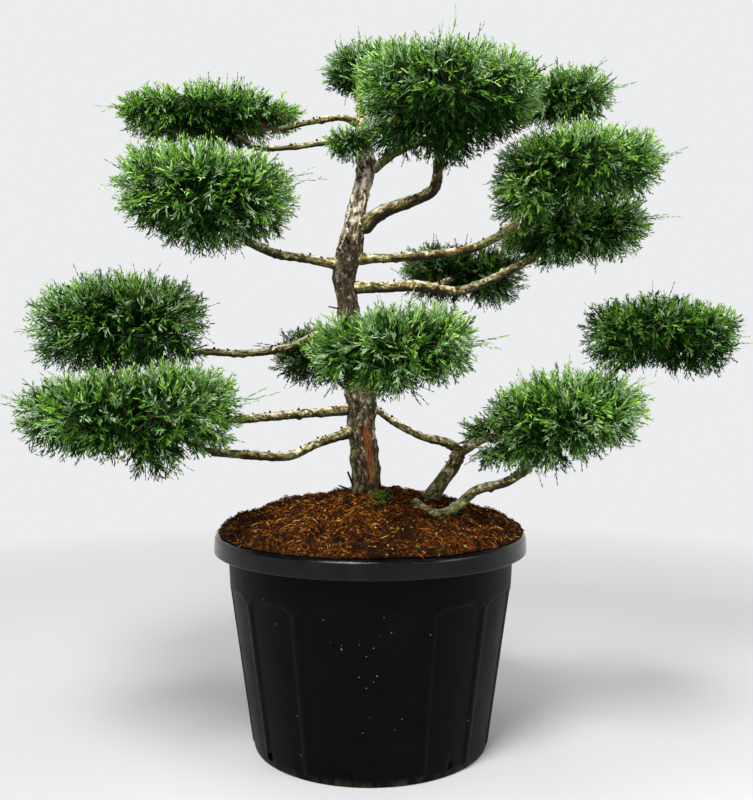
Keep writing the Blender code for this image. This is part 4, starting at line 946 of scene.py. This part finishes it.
def hair_meshes(starts, middles, ends, half_widths):
    """Three-sided hairs, bent and thickest at the middle."""
    sides = square_to(unit(ends - starts))
    return many([starts, *three_sides(middles, *sides, half_widths), ends], HAIR_FACES)


def taper_meshes(starts, ends, first, last):
    """Three-sided tapering twigs."""
    sides = square_to(unit(ends - starts))
    return many(three_sides(starts, *sides, first) + three_sides(ends, *sides, last), TAPER_FACES)


def deal_ladder(exposure, browned, blue, rng):
    """The colours of a spray by how much it is lit: 0 is deep shade and 1 is open to the sky."""
    if rng.random() < browned:
        return "brown"
    lit = exposure + rng.uniform(-LIT_JITTER, LIT_JITTER) - SHADED_DROP * (rng.random() < SHADED_SHARE)
    step = sum(lit >= edge for edge in LADDER_STEPS)
    if step in (2, 3) and rng.random() < blue:
        return "blue"
    if step == 4 and rng.random() < FRESH_SHARE:
        return "fresh"
    return ("shade", "deep", "mid", "fresh", "yellow")[step]


def place_sprays(roots, growths, rolls, scales, templates, picks):
    """Every shoot of every spray: starts, ends, half widths, tones and the spray it belongs to."""
    parts = [[], [], [], [], []]
    across, face = square_to(growths, rolls)
    for kind, (starts, ends, widths, tones) in enumerate(templates):
        chosen = np.flatnonzero(picks == kind)
        axes = np.stack([growths[chosen], across[chosen], face[chosen]], axis=1)
        size = (SPRAY_LENGTH * scales[chosen])[:, None, None]
        for part, local in ((parts[0], starts), (parts[1], ends)):
            part.append((roots[chosen][:, None] + (local @ axes) * size).reshape(-1, 3))
        power = np.where(scales[chosen] < 1, *WIDTH_POWERS) * (kind < SPRAY_KINDS)
        wide = SHOOT_HALF_WIDTH * scales[chosen] ** power
        parts[2].append((wide[:, None] * widths).ravel())
        parts[3].append(np.broadcast_to(tones, (len(chosen), len(tones))).ravel())
        parts[4].append(chosen.repeat(len(tones)))
    return [np.concatenate(part) for part in parts]


def shoots_kept(pad, starts, ends, routes):
    """False for a shoot that would touch a limb, enter a neighbour or leave the solids' box."""
    middle = (starts + ends) / 2
    kept = ((ends > np.array(CAD_LOW) - BOX_SPARE) & (ends < np.array(CAD_HIGH) + BOX_SPARE)).all(axis=1)
    own = pad.depth(ends)
    for other in pad.neighbours:
        kept &= (own < other.depth(ends)) | (own < 1) & (other.depth(ends) > 1)
    box_low, box_high = ends.min(axis=0) - NEAR_LIMBS, ends.max(axis=0) + NEAR_LIMBS
    for places, tangents, radii in routes:
        near = ((places > box_low) & (places < box_high)).all(axis=1)
        if near.sum() < 2:
            continue
        local = places[near], tangents[near], radii[near]
        for points in (middle, ends):
            kept &= gap_to_route(points, local) > SHOOT_KEEP_OFF
    return kept


def exposures(name, number, pad, points, normals, shade):
    """How much each spray is lit, which picks its painted light and shade: 0 is deep shade and 1 is open to
    the sky.
    """
    patch = lumps(points * 11 + number * 3.7, 700 + number)
    lit = LIT_LEVEL + LIT_BY_SLOPE * normals[:, 2] + LIT_BY_PATCH * patch - pad.shade
    lit -= shade * (1 + SHADE_BY_SLOPE * normals[:, 2].clip(0))
    lit -= UNDERSIDE_SHADE * smoothstep(-0.20, -0.75, normals[:, 2])
    if name == "crown_front":
        # painted shade under the crown
        lit -= CROWN_UNDERSIDE_SHADE * smoothstep(*CROWN_SHADE_BELOW, points[:, 2])
    return np.where(normals[:, 1] > 0.5, lit - REAR_SHADE, lit)


def spray_layers(name, number, pad, usual, rng):
    """The sprays that clothe a pad, layer by layer: their roots, ways, scales and exposures."""
    sheets = []
    for share, area_each, size, shade in LAYERS:
        points, directions = pad.sites(area_each * usual)
        count = len(points)
        normals = pad.outward(points)
        wander = rng.uniform(-1, 1, (count, 3))
        rise = GROWTH_RISE * smoothstep(-0.2, 0.7, normals[:, 2:]) * np.array([0, 0, 1])
        growths = unit(normals + directions * GROWTH_FROM_HEART + wander * GROWTH_WANDER + rise)
        scales = rng.uniform(*SPRAY_SCALES, count) * size * usual
        beyond = rng.uniform(*TIP_BEYOND, count)
        stray = rng.random(count) < STRAY_SHARE * (share == 1.0)
        beyond = np.where(stray, rng.uniform(TIP_BEYOND[1], STRAY_BEYOND, count), beyond)
        tips = pad.heart + (points - pad.heart) * share + growths * beyond[:, None]
        roots = tips - growths * (SPRAY_LENGTH * scales)[:, None]
        sheets.append((roots, growths, scales, exposures(name, number, pad, points, normals, shade)))
    return sheets


def long_shoots(pad, usual, rng):
    """Sprigs and whiskers that stand out of a pad, listed as the sprays are."""
    sheets = []
    count = len(SPRIG_SHARES)
    for aim, beyond in pad.sprigs:
        aim = unit(np.array(aim))
        edge = float(pad.reach(aim))
        spread = unit(aim + rng.uniform(-SPRIG_SPREAD, SPRIG_SPREAD, (count, 3)))
        spread[0] = aim
        beyonds = beyond * np.array(SPRIG_SHARES)
        apart = rng.uniform(-SPRIG_APART, SPRIG_APART, (count, 3))
        ends = pad.heart + aim * edge + spread * beyonds[:, None] + apart
        ends[0] = pad.heart + aim * (edge + beyond)
        lengths = (beyonds + SPRIG_ROOT) / SPRAY_LENGTH
        sheets.append((ends - spread * (SPRAY_LENGTH * lengths)[:, None], spread, lengths,
                       np.full(count, SPRIG_LIT)))
    points, directions, area = pad.candidates()
    count = round(area / WHISKER_AREA)
    loose = rng.choice(len(points), count)
    normals = pad.outward(points[loose])
    wander = rng.uniform(-WHISKER_WANDER, WHISKER_WANDER, (count, 3))
    growths = unit(normals + directions[loose] + wander + (0, 0, WHISKER_RISE))
    beyonds = rng.uniform(*WHISKERS_BEYOND, count) * usual
    lengths = (beyonds + WHISKER_ROOT) / SPRAY_LENGTH
    ends = points[loose] + growths * beyonds[:, None]
    sheets.append((ends - growths * (SPRAY_LENGTH * lengths)[:, None], growths, lengths,
                   WHISKER_LIT + WHISKER_LIT_BY_SLOPE * normals[:, 2] - pad.shade))
    return sheets


def spray_ladders(name, blue, lit, roots, dealer):
    """Each spray's three colours, by their places among the needles' materials."""
    names = list(NEEDLE_COLOURS)
    browned = np.full(len(lit), BROWN_SHARE)
    if name == "left_high_rear":
        share, edge, width = BROWNED_END
        browned += share * smoothstep(edge - width, edge + width, roots[:, 0])
    return np.array([[names.index(step) for step in LADDERS[deal_ladder(e, b, blue, dealer)]]
                     for e, b in zip(lit.tolist(), browned.tolist())])


def grow_pad(name, number, pad, stems, routes, templates, needles, twig_materials):
    """A pad: stems, forks, branches and twigs out to each spray, and the sprays themselves."""
    rng = np.random.default_rng(SEED + number)
    branch_points, branch_directions = pad.sites(BRANCH_AREA)
    fork_directions = branch_directions[:math.ceil(len(branch_points) / TWIGS_PER_FORK)]
    forks = pad.heart + fork_directions * (pad.core_reach(fork_directions) * FORK_SHARE)[:, None]
    branches = pad.heart + (branch_points - pad.heart) * BRANCH_SHARE
    nearest = np.linalg.norm(branches[:, None] - forks, axis=-1).argmin(axis=1)
    twigs = [(np.repeat(pad.heart[None], len(forks), axis=0), forks, *FORK_RADII),
             (forks[nearest], branches, *BRANCH_RADII)]
    hubs = np.concatenate([forks, branches])

    usual = min(1.0, float(np.median(pad.reach(branch_directions))) / FULL_SIZE_REACH)
    sprays = spray_layers(name, number, pad, usual, rng)
    slim = long_shoots(pad, usual, rng)
    roots, growths, scales, lit = (np.concatenate(part) for part in zip(*sprays, *slim))
    count, thin = len(roots), sum(len(sheet[0]) for sheet in slim)
    picks = rng.integers(0, SPRAY_KINDS, count)
    # the last ones dealt out are the long shoots, which have templates of their own
    picks[-thin:] = rng.integers(SPRAY_KINDS, len(templates), thin)
    rolls = rng.uniform(0, math.tau, count)
    shoots = place_sprays(roots, growths, rolls, scales, templates, picks)
    kept = shoots_kept(pad, shoots[0], shoots[1], routes)
    starts, ends, widths, tones, owners = (part[kept] for part in shoots)

    ladder = spray_ladders(name, pad.blue, lit, roots, random.Random(SEED + number))
    tones = tones + rng.uniform(*TONE_JITTER, len(tones))
    level = (tones > TONE_STEPS[0]).astype(int) + (tones > TONE_STEPS[1])
    kinds = ladder[owners, level].repeat(len(SHOOT_FACES))
    verts, faces = shoot_meshes(starts, ends, widths, rng.uniform(0, math.tau, len(starts)))
    add_piece("needles_" + name, verts, faces, needles, kinds, smooth=False,
              replaces=["pad_" + name])

    # a fine twig to each spray that stands
    whole = np.bincount(owners, minlength=count) > SPRAY_STANDS
    roots, growths, scales = roots[whole], growths[whole], scales[whole]
    hub = np.linalg.norm(roots[:, None] - hubs, axis=-1).argmin(axis=1)
    ends = roots + growths * (SPRAY_LENGTH * scales * TWIG_INTO_SPRAY)[:, None]
    add_twigs(name, twigs, (hubs[hub], ends), stems, twig_materials, routes)


def add_twigs(name, twigs, fine, stems, materials, routes):
    """The wood inside a pad: its stems from the boughs, forks, branches and fine twigs."""
    def clear(starts, ends):
        kept = np.ones(len(starts), bool)
        for route in routes:
            for points in ((starts + ends) / 2, ends):
                kept &= gap_to_route(points, route) > TWIG_KEEP_OFF
        return starts[kept], ends[kept]

    parts = []
    for places, _, radii in stems:
        overlap = np.diff(places, axis=0) * 0.02
        parts.append(taper_meshes(places[:-1], places[1:] + overlap, radii[:-1], radii[1:]))
    for starts, ends, first, last in twigs:
        starts, ends = clear(starts, ends)
        parts.append(taper_meshes(starts, ends, np.full(len(starts), first), np.full(len(starts), last)))
    thick = sum(len(faces) for _, faces in parts)
    starts, ends = clear(*fine)
    parts.append(hair_meshes(starts, (starts + ends) / 2, ends, np.full(len(starts), FINE_TWIG)))
    bases = np.cumsum([0] + [len(verts) for verts, _ in parts])
    verts = np.concatenate([verts for verts, _ in parts])
    faces = np.concatenate([faces + base for (_, faces), base in zip(parts, bases)])
    kinds = (np.arange(len(faces)) >= thick).astype(int)
    add_piece("twigs_" + name, verts, faces, materials, kinds, smooth=False)


def route_to_pad(points, pad):
    """The bough's points with the last one pulled to where it enters the pad's core."""
    last = np.array(points[-1][:3])
    aim = (last - pad.heart) / np.linalg.norm(last - pad.heart)
    end = pad.heart + aim * (float(pad.core_reach(aim)) + STEM_STANDOFF)
    return points[:-1] + [(*end, points[-1][3])]


def stem_into(pad, route):
    """The pad's own stem, from the bough's end to the heart."""
    places, tangents, radii = route
    first = places[-1] + tangents[-1] * CLEARANCE
    bend = first + tangents[-1] * STEM_STANDOFF * 2
    points = [first, bend, (bend * 2 + pad.heart) / 3, (bend + pad.heart * 2) / 3, pad.heart]
    shares = (1.0, 1.0, 0.9, 0.75, STEM_TAPER)
    return smooth_route([(*p, radii[-1] * share) for p, share in zip(points, shares)], STEM_STEP)


# ---------------------------------------------------------------- pot and filling

def inner_radius(z):
    heights = (POT_FLOOR, SHOULDER_Z, POT_HEIGHT)
    return np.interp(z, heights, (POT_BASE_RADIUS - POT_WALL, INNER_SHOULDER_RADIUS, LIP_RADIUS))


def arc(middle, radius, first, last, count):
    """(radius, height) points on an arc, by degrees from outward to up."""
    turns = np.radians(np.linspace(first, last, count))
    return [(middle[0] + radius * math.cos(t), middle[1] + radius * math.sin(t)) for t in turns]


def make_pot(material, rim_material):
    """Turned shell: ribbed wall in shallow panels, smooth collar, folded rim and drain holes."""
    pitch = 360 / RIB_COUNT
    # degrees from a rib's crest to the stations beside it
    near_rib = np.array([-12.0, -9.0, -6.4, -4.6, -3.4, -2.7, -2.1, -1.6, -0.9])
    offsets = np.concatenate([near_rib, [0.0], -near_rib[::-1]])
    turns = np.concatenate([RIB_TURN + rib * pitch + offsets for rib in range(RIB_COUNT)])
    even = np.zeros(len(turns))
    from_rib = np.abs(np.tile(offsets, RIB_COUNT))
    crest = smoothstep(2.8, 0.7, from_rib)
    corner = np.exp(-((from_rib - 2.4) / 1.9) ** 2) * (from_rib > 1.2)
    heights = np.concatenate([np.linspace(0.010, 0.030, 6), np.linspace(0.06, 0.36, 6),
                              np.linspace(0.370, 0.410, 13), np.linspace(0.420, 0.468, 3)])
    rings = []
    for radius, z in arc((POT_BASE_RADIUS + FOOT_OUT - FOOT_FILLET, FOOT_FILLET), FOOT_FILLET, -90, -8, 5):
        rings.append((even + radius, even + z))
    for z in heights:
        wall = POT_BASE_RADIUS + POT_WALL_SLOPE * z
        rib = wall + RIB_HEIGHT * crest * smoothstep(0.010, RIB_FOOT_Z, z)
        hollow = PANEL_HOLLOW * smoothstep(2.4, 9.0, from_rib) * smoothstep(0.02, 0.06, z)
        collar = COLLAR_RADII[0] + (COLLAR_RADII[1] - COLLAR_RADII[0]) * (z - SHOULDER_Z) / COLLAR_HEIGHT
        edge = smoothstep(0.0, 0.009, z - (SHOULDER_Z - 0.008 - 0.013 * corner))
        panel = wall - hollow
        radius = np.maximum(rib * (1 - edge) + collar * edge, panel + (collar - panel) * edge)
        rings.append((radius, even + z))
    from_crease = (turns - DENT_TURN + 180) % 360 - 180
    dent = DENT_DEPTH * np.exp(-(from_crease / DENT_SPREAD) ** 2) * (from_crease > 0)
    dent = dent + CREASE_DEPTH * np.exp(-(from_crease / CREASE_SPREAD) ** 2)
    wave = RIM_WAVE * np.sin(np.radians(turns * 3 + 40))
    rim_low = POT_HEIGHT - RIM_DEPTH
    under = [(COLLAR_RADII[1] + 0.001, rim_low + RIM_SEAM), (RIM_RADIUS - 0.010, rim_low + 0.004)]
    under += arc((RIM_RADIUS - 0.0045, rim_low + 0.0040), 0.0036, -80, 0, 5)
    top = arc((RIM_RADIUS - 0.002 - RIM_CORNER, POT_HEIGHT - RIM_CORNER), RIM_CORNER, 0, 90, 12)
    inward = [(0.368, POT_HEIGHT - 0.0004), (0.359, POT_HEIGHT - 0.0012)]
    inward += arc((LIP_RADIUS + 0.0028, POT_HEIGHT - 0.0028), 0.0028, 90, 180, 5)
    rim = []
    for radius, z in under + [(RIM_RADIUS - 0.0014, 0.490)] + top + inward:
        moved = smoothstep(0.356, 0.378, radius) * (wave - dent)
        rim.append((radius + moved, z - 0.5 * dent * (z > 0.51)))
    rim.append((even + inner_radius(rim_low) + SKIN_GAP, even + rim_low + RIM_SEAM))
    seam = rim_low + SHELL_SEAM
    inside = [(inner_radius(z), z) for z in (seam, SHOULDER_Z, POT_FLOOR)]
    for radius, z in [(COLLAR_RADII[1], seam), *inside]:
        rings.append((even + radius, even + z))
    angles = np.radians(turns)
    count = len(turns)

    def turned(profile):
        return np.concatenate([columns(r * np.sin(angles), -r * np.cos(angles), z)
                               for r, z in profile])

    closed = grid_faces(len(rim) + 1, count) % (len(rim) * count)
    add_piece("pot_rim", turned(rim), closed, [rim_material], replaces=["pot"])
    faces = grid_faces(len(rings), count).tolist() + end_caps(count, len(rings))
    pot = add_piece("pot_shell", turned(rings), faces, [material], replaces=["pot"])
    for hole in range(HOLE_COUNT):
        cut_hole(pot, HOLE_TURN + hole * 360 / HOLE_COUNT)


def cut_hole(pot, turn):
    """A round drain hole through the foot of the wall."""
    angle = math.radians(turn)
    bpy.ops.mesh.primitive_cylinder_add(vertices=HOLE_SIDES, radius=HOLE_RADIUS, depth=HOLE_DEPTH)
    cutter = bpy.context.object
    cutter.location = (HOLE_OUT * math.sin(angle), -HOLE_OUT * math.cos(angle), HOLE_Z)
    cutter.rotation_euler = (math.pi / 2, 0, angle)
    bpy.context.view_layer.update()
    boolean = pot.modifiers.new("hole", "BOOLEAN")
    boolean.operation = "DIFFERENCE"
    boolean.solver = "EXACT"
    boolean.object = cutter
    graph = bpy.context.evaluated_depsgraph_get()
    cut = bpy.data.meshes.new_from_object(pot.evaluated_get(graph))
    pot.modifiers.clear()
    pot.data = cut
    bpy.data.objects.remove(cutter)


def mound_height(x, y):
    """Height of the filling's surface at places on it."""
    radius = np.hypot(x, y)
    peak_x, peak_y, extra, spread = MOUND_PEAK
    heap = extra * np.exp(-((x - peak_x) ** 2 + (y - peak_y) ** 2) / spread**2)
    ripple = RIPPLE_HEIGHT * np.sin(23 * x + 2) * np.cos(19 * y + 1)
    ripple = ripple * np.minimum(1.0, (1 - radius / MOUND[-1][0]) * 6)
    calm = smoothstep(MOUND[-1][0], MOUND[-1][0] - 0.030, radius)
    places = columns(x, y, np.zeros_like(x))
    clods = CLOD_HEIGHT * rough(places * 32, 821, 3) * (0.40 + 0.60 * calm)
    crumbs = CRUMB_HEIGHT * rough(places * 130, 801, 2) * (0.4 + 0.6 * calm)
    return np.interp(radius, *zip(*MOUND)) + heap + ripple + clods + crumbs


def make_filling(material):
    """Coir that fills the pot, lies ragged over its rim and heaps up round the trunk."""
    turns = math.tau * np.arange(MOUND_SIDES) / MOUND_SIDES
    cos, sin = np.cos(turns), np.sin(turns)
    edge = MOUND[-1][0] + EDGE_RAGGED * rough(columns(cos * 5, sin * 5, turns * 0), 841, 4)
    under = POT_HEIGHT + MOUND_LIFT
    rings = [(inner_radius(z) - FILLING_GAP, z) for z in (POT_FLOOR + CLEARANCE, SHOULDER_Z, POT_HEIGHT)]
    rings += [(LIP_RADIUS, under), (edge - 0.002, under)]
    verts = [columns(r * cos, r * sin, turns * 0 + z) for r, z in rings]
    for share in np.concatenate([np.linspace(1.0, 0.86, 16), np.linspace(0.845, 0.012, 50)]):
        x, y = edge * share * cos, edge * share * sin
        verts.append(columns(x, y, np.maximum(mound_height(x, y), under + 0.0006)))
    faces = grid_faces(len(verts), MOUND_SIDES).tolist() + end_caps(MOUND_SIDES, len(verts))
    add_piece("coir_mound", np.concatenate(verts), faces, [material], replaces=["filling"])


def mound_places(rng, count):
    """Random places on the mound, and which way is out of it at each."""
    radius, turn = MOUND[-1][0] * np.sqrt(rng.random(count)), rng.uniform(0, math.tau, count)
    x, y = radius * np.cos(turn), radius * np.sin(turn)
    step = 0.008
    slope_x = (mound_height(x + step, y) - mound_height(x - step, y)) / (2 * step)
    slope_y = (mound_height(x, y + step) - mound_height(x, y - step)) / (2 * step)
    out = unit(columns(-slope_x, -slope_y, np.ones(count)))
    return columns(x, y, mound_height(x, y)), out


def make_fibres(materials):
    """Loose coir fibres: bent hairs that lie on the mound, some of them lifted."""
    rng = np.random.default_rng(SEED + 100)
    count = FIBRES
    places, out = mound_places(rng, count)
    wander = unit(rng.uniform(-1, 1, (count, 3)))
    along = unit(wander - out * (wander * out).sum(axis=-1, keepdims=True))
    lift = rng.uniform(-0.10, 0.32, (count, 1))
    length = rng.uniform(*FIBRE_LENGTHS, (count, 1))
    bend = np.cross(out, along) * rng.uniform(-0.45, 0.45, (count, 1))
    starts = places - along * length / 2
    middles = places + bend * length * 0.35 + out * (FIBRE_LIFT + lift * length * 0.30)
    ends = places + along * length / 2 + out * (lift * length * 0.8)
    kinds = rng.choice(len(materials), count, p=FIBRE_SHARES)
    # hairs lie thick in some places and leave dark crumbs bare in others
    kinds[lumps(places * 38, 861) > DARK_FIBRES_ABOVE] = 0
    verts, faces = hair_meshes(starts, middles, ends, rng.uniform(*FIBRE_HALF_WIDTHS, count))
    add_piece("coir_fibres", verts, faces, materials, kinds.repeat(len(HAIR_FACES)), smooth=False)


def make_crumbs(materials):
    """Chips and crumbs of the filling, with a few clippings of the plant near the trunk."""
    rng = np.random.default_rng(SEED + 101)
    places, out = mound_places(rng, CRUMBS)
    at = CLIPPINGS_AT + rng.normal(0, CLIPPINGS_SPREAD, (CLIPPINGS, 2))
    near = columns(at[:, 0], at[:, 1], mound_height(at[:, 0], at[:, 1]) + CLIPPING_LIFT)
    places = np.concatenate([places, near])
    out = np.concatenate([out, np.tile((0.0, 0.0, 1.0), (CLIPPINGS, 1))])
    count = CRUMBS + CLIPPINGS
    along = unit(rng.uniform(-1, 1, (count, 3)) * (1, 1, 0.5))
    length = rng.uniform(*CRUMB_LENGTHS, (count, 1))
    middles = places + out * CRUMB_LIFT
    kinds = rng.choice(len(materials), count, p=CRUMB_SHARES)
    kinds[-CLIPPINGS:] = len(materials) - 1
    verts, faces = hair_meshes(middles - along * length / 2, middles, middles + along * length / 2,
                               rng.uniform(*CRUMB_HALF_WIDTHS, count))
    add_piece("coir_crumbs", verts, faces, materials, kinds.repeat(len(HAIR_FACES)), smooth=False)


# ---------------------------------------------------------------- stage

def make_stage():
    """A plain pale floor that fades into the pale surroundings, soft lights and the camera."""
    pale = (0.84, 0.845, 0.86, 1.0)
    scene = bpy.context.scene
    scene.view_settings.view_transform = "Standard"
    scene.world = bpy.data.worlds.new("studio")
    scene.world.use_nodes = True
    # pale walls, and a dimmer ceiling so that the lamps shape the plant
    studio = Nodes(scene.world.node_tree, "Background")
    up = studio.parts(studio.place("Generated"))["Z"]
    strength = studio.spread(up, 0.45, 0.80, 1.0, CEILING_LEVEL)
    studio.fill(studio.surface, {"Color": pale, "Strength": strength})

    turns = math.tau * np.arange(FLOOR_SIDES) / FLOOR_SIDES
    rim = columns(np.cos(turns), np.sin(turns), turns * 0) * FLOOR_RADIUS
    mesh = bpy.data.meshes.new("floor")
    mesh.from_pydata(rim.tolist(), [], [tuple(range(FLOOR_SIDES))])
    floor = bpy.data.objects.new("floor", mesh)
    scene.collection.objects.link(floor)
    shader = Shader("floor_pale", (0.62, 0.62, 0.63, 1.0), 0.7, 0.2)
    distance = shader.node("ShaderNodeVectorMath", {0: shader.place()}, operation="LENGTH").outputs["Value"]
    glow = shader.node("ShaderNodeEmission", {"Color": pale})
    blend = shader.node("ShaderNodeMixShader", {0: shader.spread(distance, *FLOOR_FADE),
                                                1: shader.surface.outputs[0], 2: glow.outputs[0]})
    shader.fill(shader.tree.nodes["Material Output"], {"Surface": blend.outputs[0]})
    mesh.materials.append(shader.material)

    for name, place, target, size, power in LAMPS:
        light = bpy.data.objects.new(name, bpy.data.lights.new(name, "AREA"))
        light.data.shape = "DISK"
        light.data.size = size
        light.data.energy = power
        light.location = place
        light.rotation_euler = (Vector(target) - Vector(place)).to_track_quat("-Z", "Y").to_euler()
        scene.collection.objects.link(light)

    camera = bpy.data.objects.new("camera", bpy.data.cameras.new("camera"))
    camera.location = CAMERA_PLACE
    camera.rotation_euler = (math.pi / 2, 0, 0)
    camera.data.sensor_fit = "HORIZONTAL"
    camera.data.sensor_width = 36
    camera.data.lens = FOCAL_PIXELS / PHOTO_WIDTH * 36
    camera.data.shift_y = (HORIZON_PIXEL - PHOTO_HEIGHT / 2) / PHOTO_WIDTH
    camera.data.clip_end = 50
    scene.collection.objects.link(camera)
    scene.camera = camera


# ---------------------------------------------------------------- the plant

def main():
    make_stage()
    make_pot(plastic_material(), rim_material())
    make_filling(coir_material())
    fibres = [plain_material("coir_" + key, colour, 0.9, 0.12) for key, colour in FIBRE_COLOURS.items()]
    make_fibres(fibres)
    make_crumbs(fibres)

    pads = {name: Pad(*row) for name, row in PADS.items()}
    for pad in pads.values():
        pad.neighbours = [
            other for other in pads.values()
            if other is not pad and np.linalg.norm(other.heart - pad.heart) < NEIGHBOUR_DISTANCE]
    limbs = {"trunk": metres(TRUNK), "side_stem": metres(SIDE_STEM)}
    for name, (_, pad_name, points) in BOUGHS.items():
        limbs[name] = route_to_pad(metres(points), pads[pad_name])
    routes = {name: smooth_route(points, ROUTE_STEP) for name, points in limbs.items()}
    stems = {name: [] for name in pads}
    for name, (_, pad_name, _) in BOUGHS.items():
        stems[pad_name].append(stem_into(pads[pad_name], routes[name]))
    stems["crown_left_small"].append(smooth_route(metres(SMALL_PAD_STEM), STEM_STEP))

    trunk_bark = bark_material("bark_trunk", rgb(26, 20, 10), rgb(80, 65, 38), rgb(142, 126, 94),
                               rgb(206, 194, 164), 0.0034)
    bough_bark = bark_material("bark_bough", rgb(36, 30, 8), rgb(100, 90, 38), rgb(164, 150, 80),
                               rgb(222, 212, 150), 0.0024)
    snags = [(np.array(foot), np.array(tip), radius) for foot, tip, radius in TRUNK_SNAGS]
    make_trunk(limbs["trunk"], trunk_bark)
    make_bough("side_stem", limbs["side_stem"], None, bough_bark, ["side_stem"], 30, snags)
    for number, (name, (parent, _, _)) in enumerate(BOUGHS.items()):
        solids = TWO_SOLIDS.get(name, (name,))
        make_bough(name, limbs[name], routes.get(parent), bough_bark, solids, number, snags)
    make_snags(snags, [plain_material("stub_bark", rgb(36, 28, 14), 0.9, 0.15),
                       plain_material("stub_wood", rgb(150, 126, 84), 0.85, 0.15)])

    maker = random.Random(SEED)
    templates = [spray_shoots(maker) for _ in range(SPRAY_KINDS)]
    templates += [whisker_shoots(maker) for _ in range(WHISKER_KINDS)]
    needles = [plain_material("needles_" + key, colour, 0.62, 0.06) for key, colour in NEEDLE_COLOURS.items()]
    twig_materials = [plain_material("twig_brown", rgb(76, 60, 40), 0.85, 0.2),
                      plain_material("twig_green", rgb(44, 58, 28), 0.75, 0.25)]
    for number, (name, pad) in enumerate(pads.items()):
        grow_pad(name, number, pad, stems[name], list(routes.values()), templates, needles, twig_materials)


main()
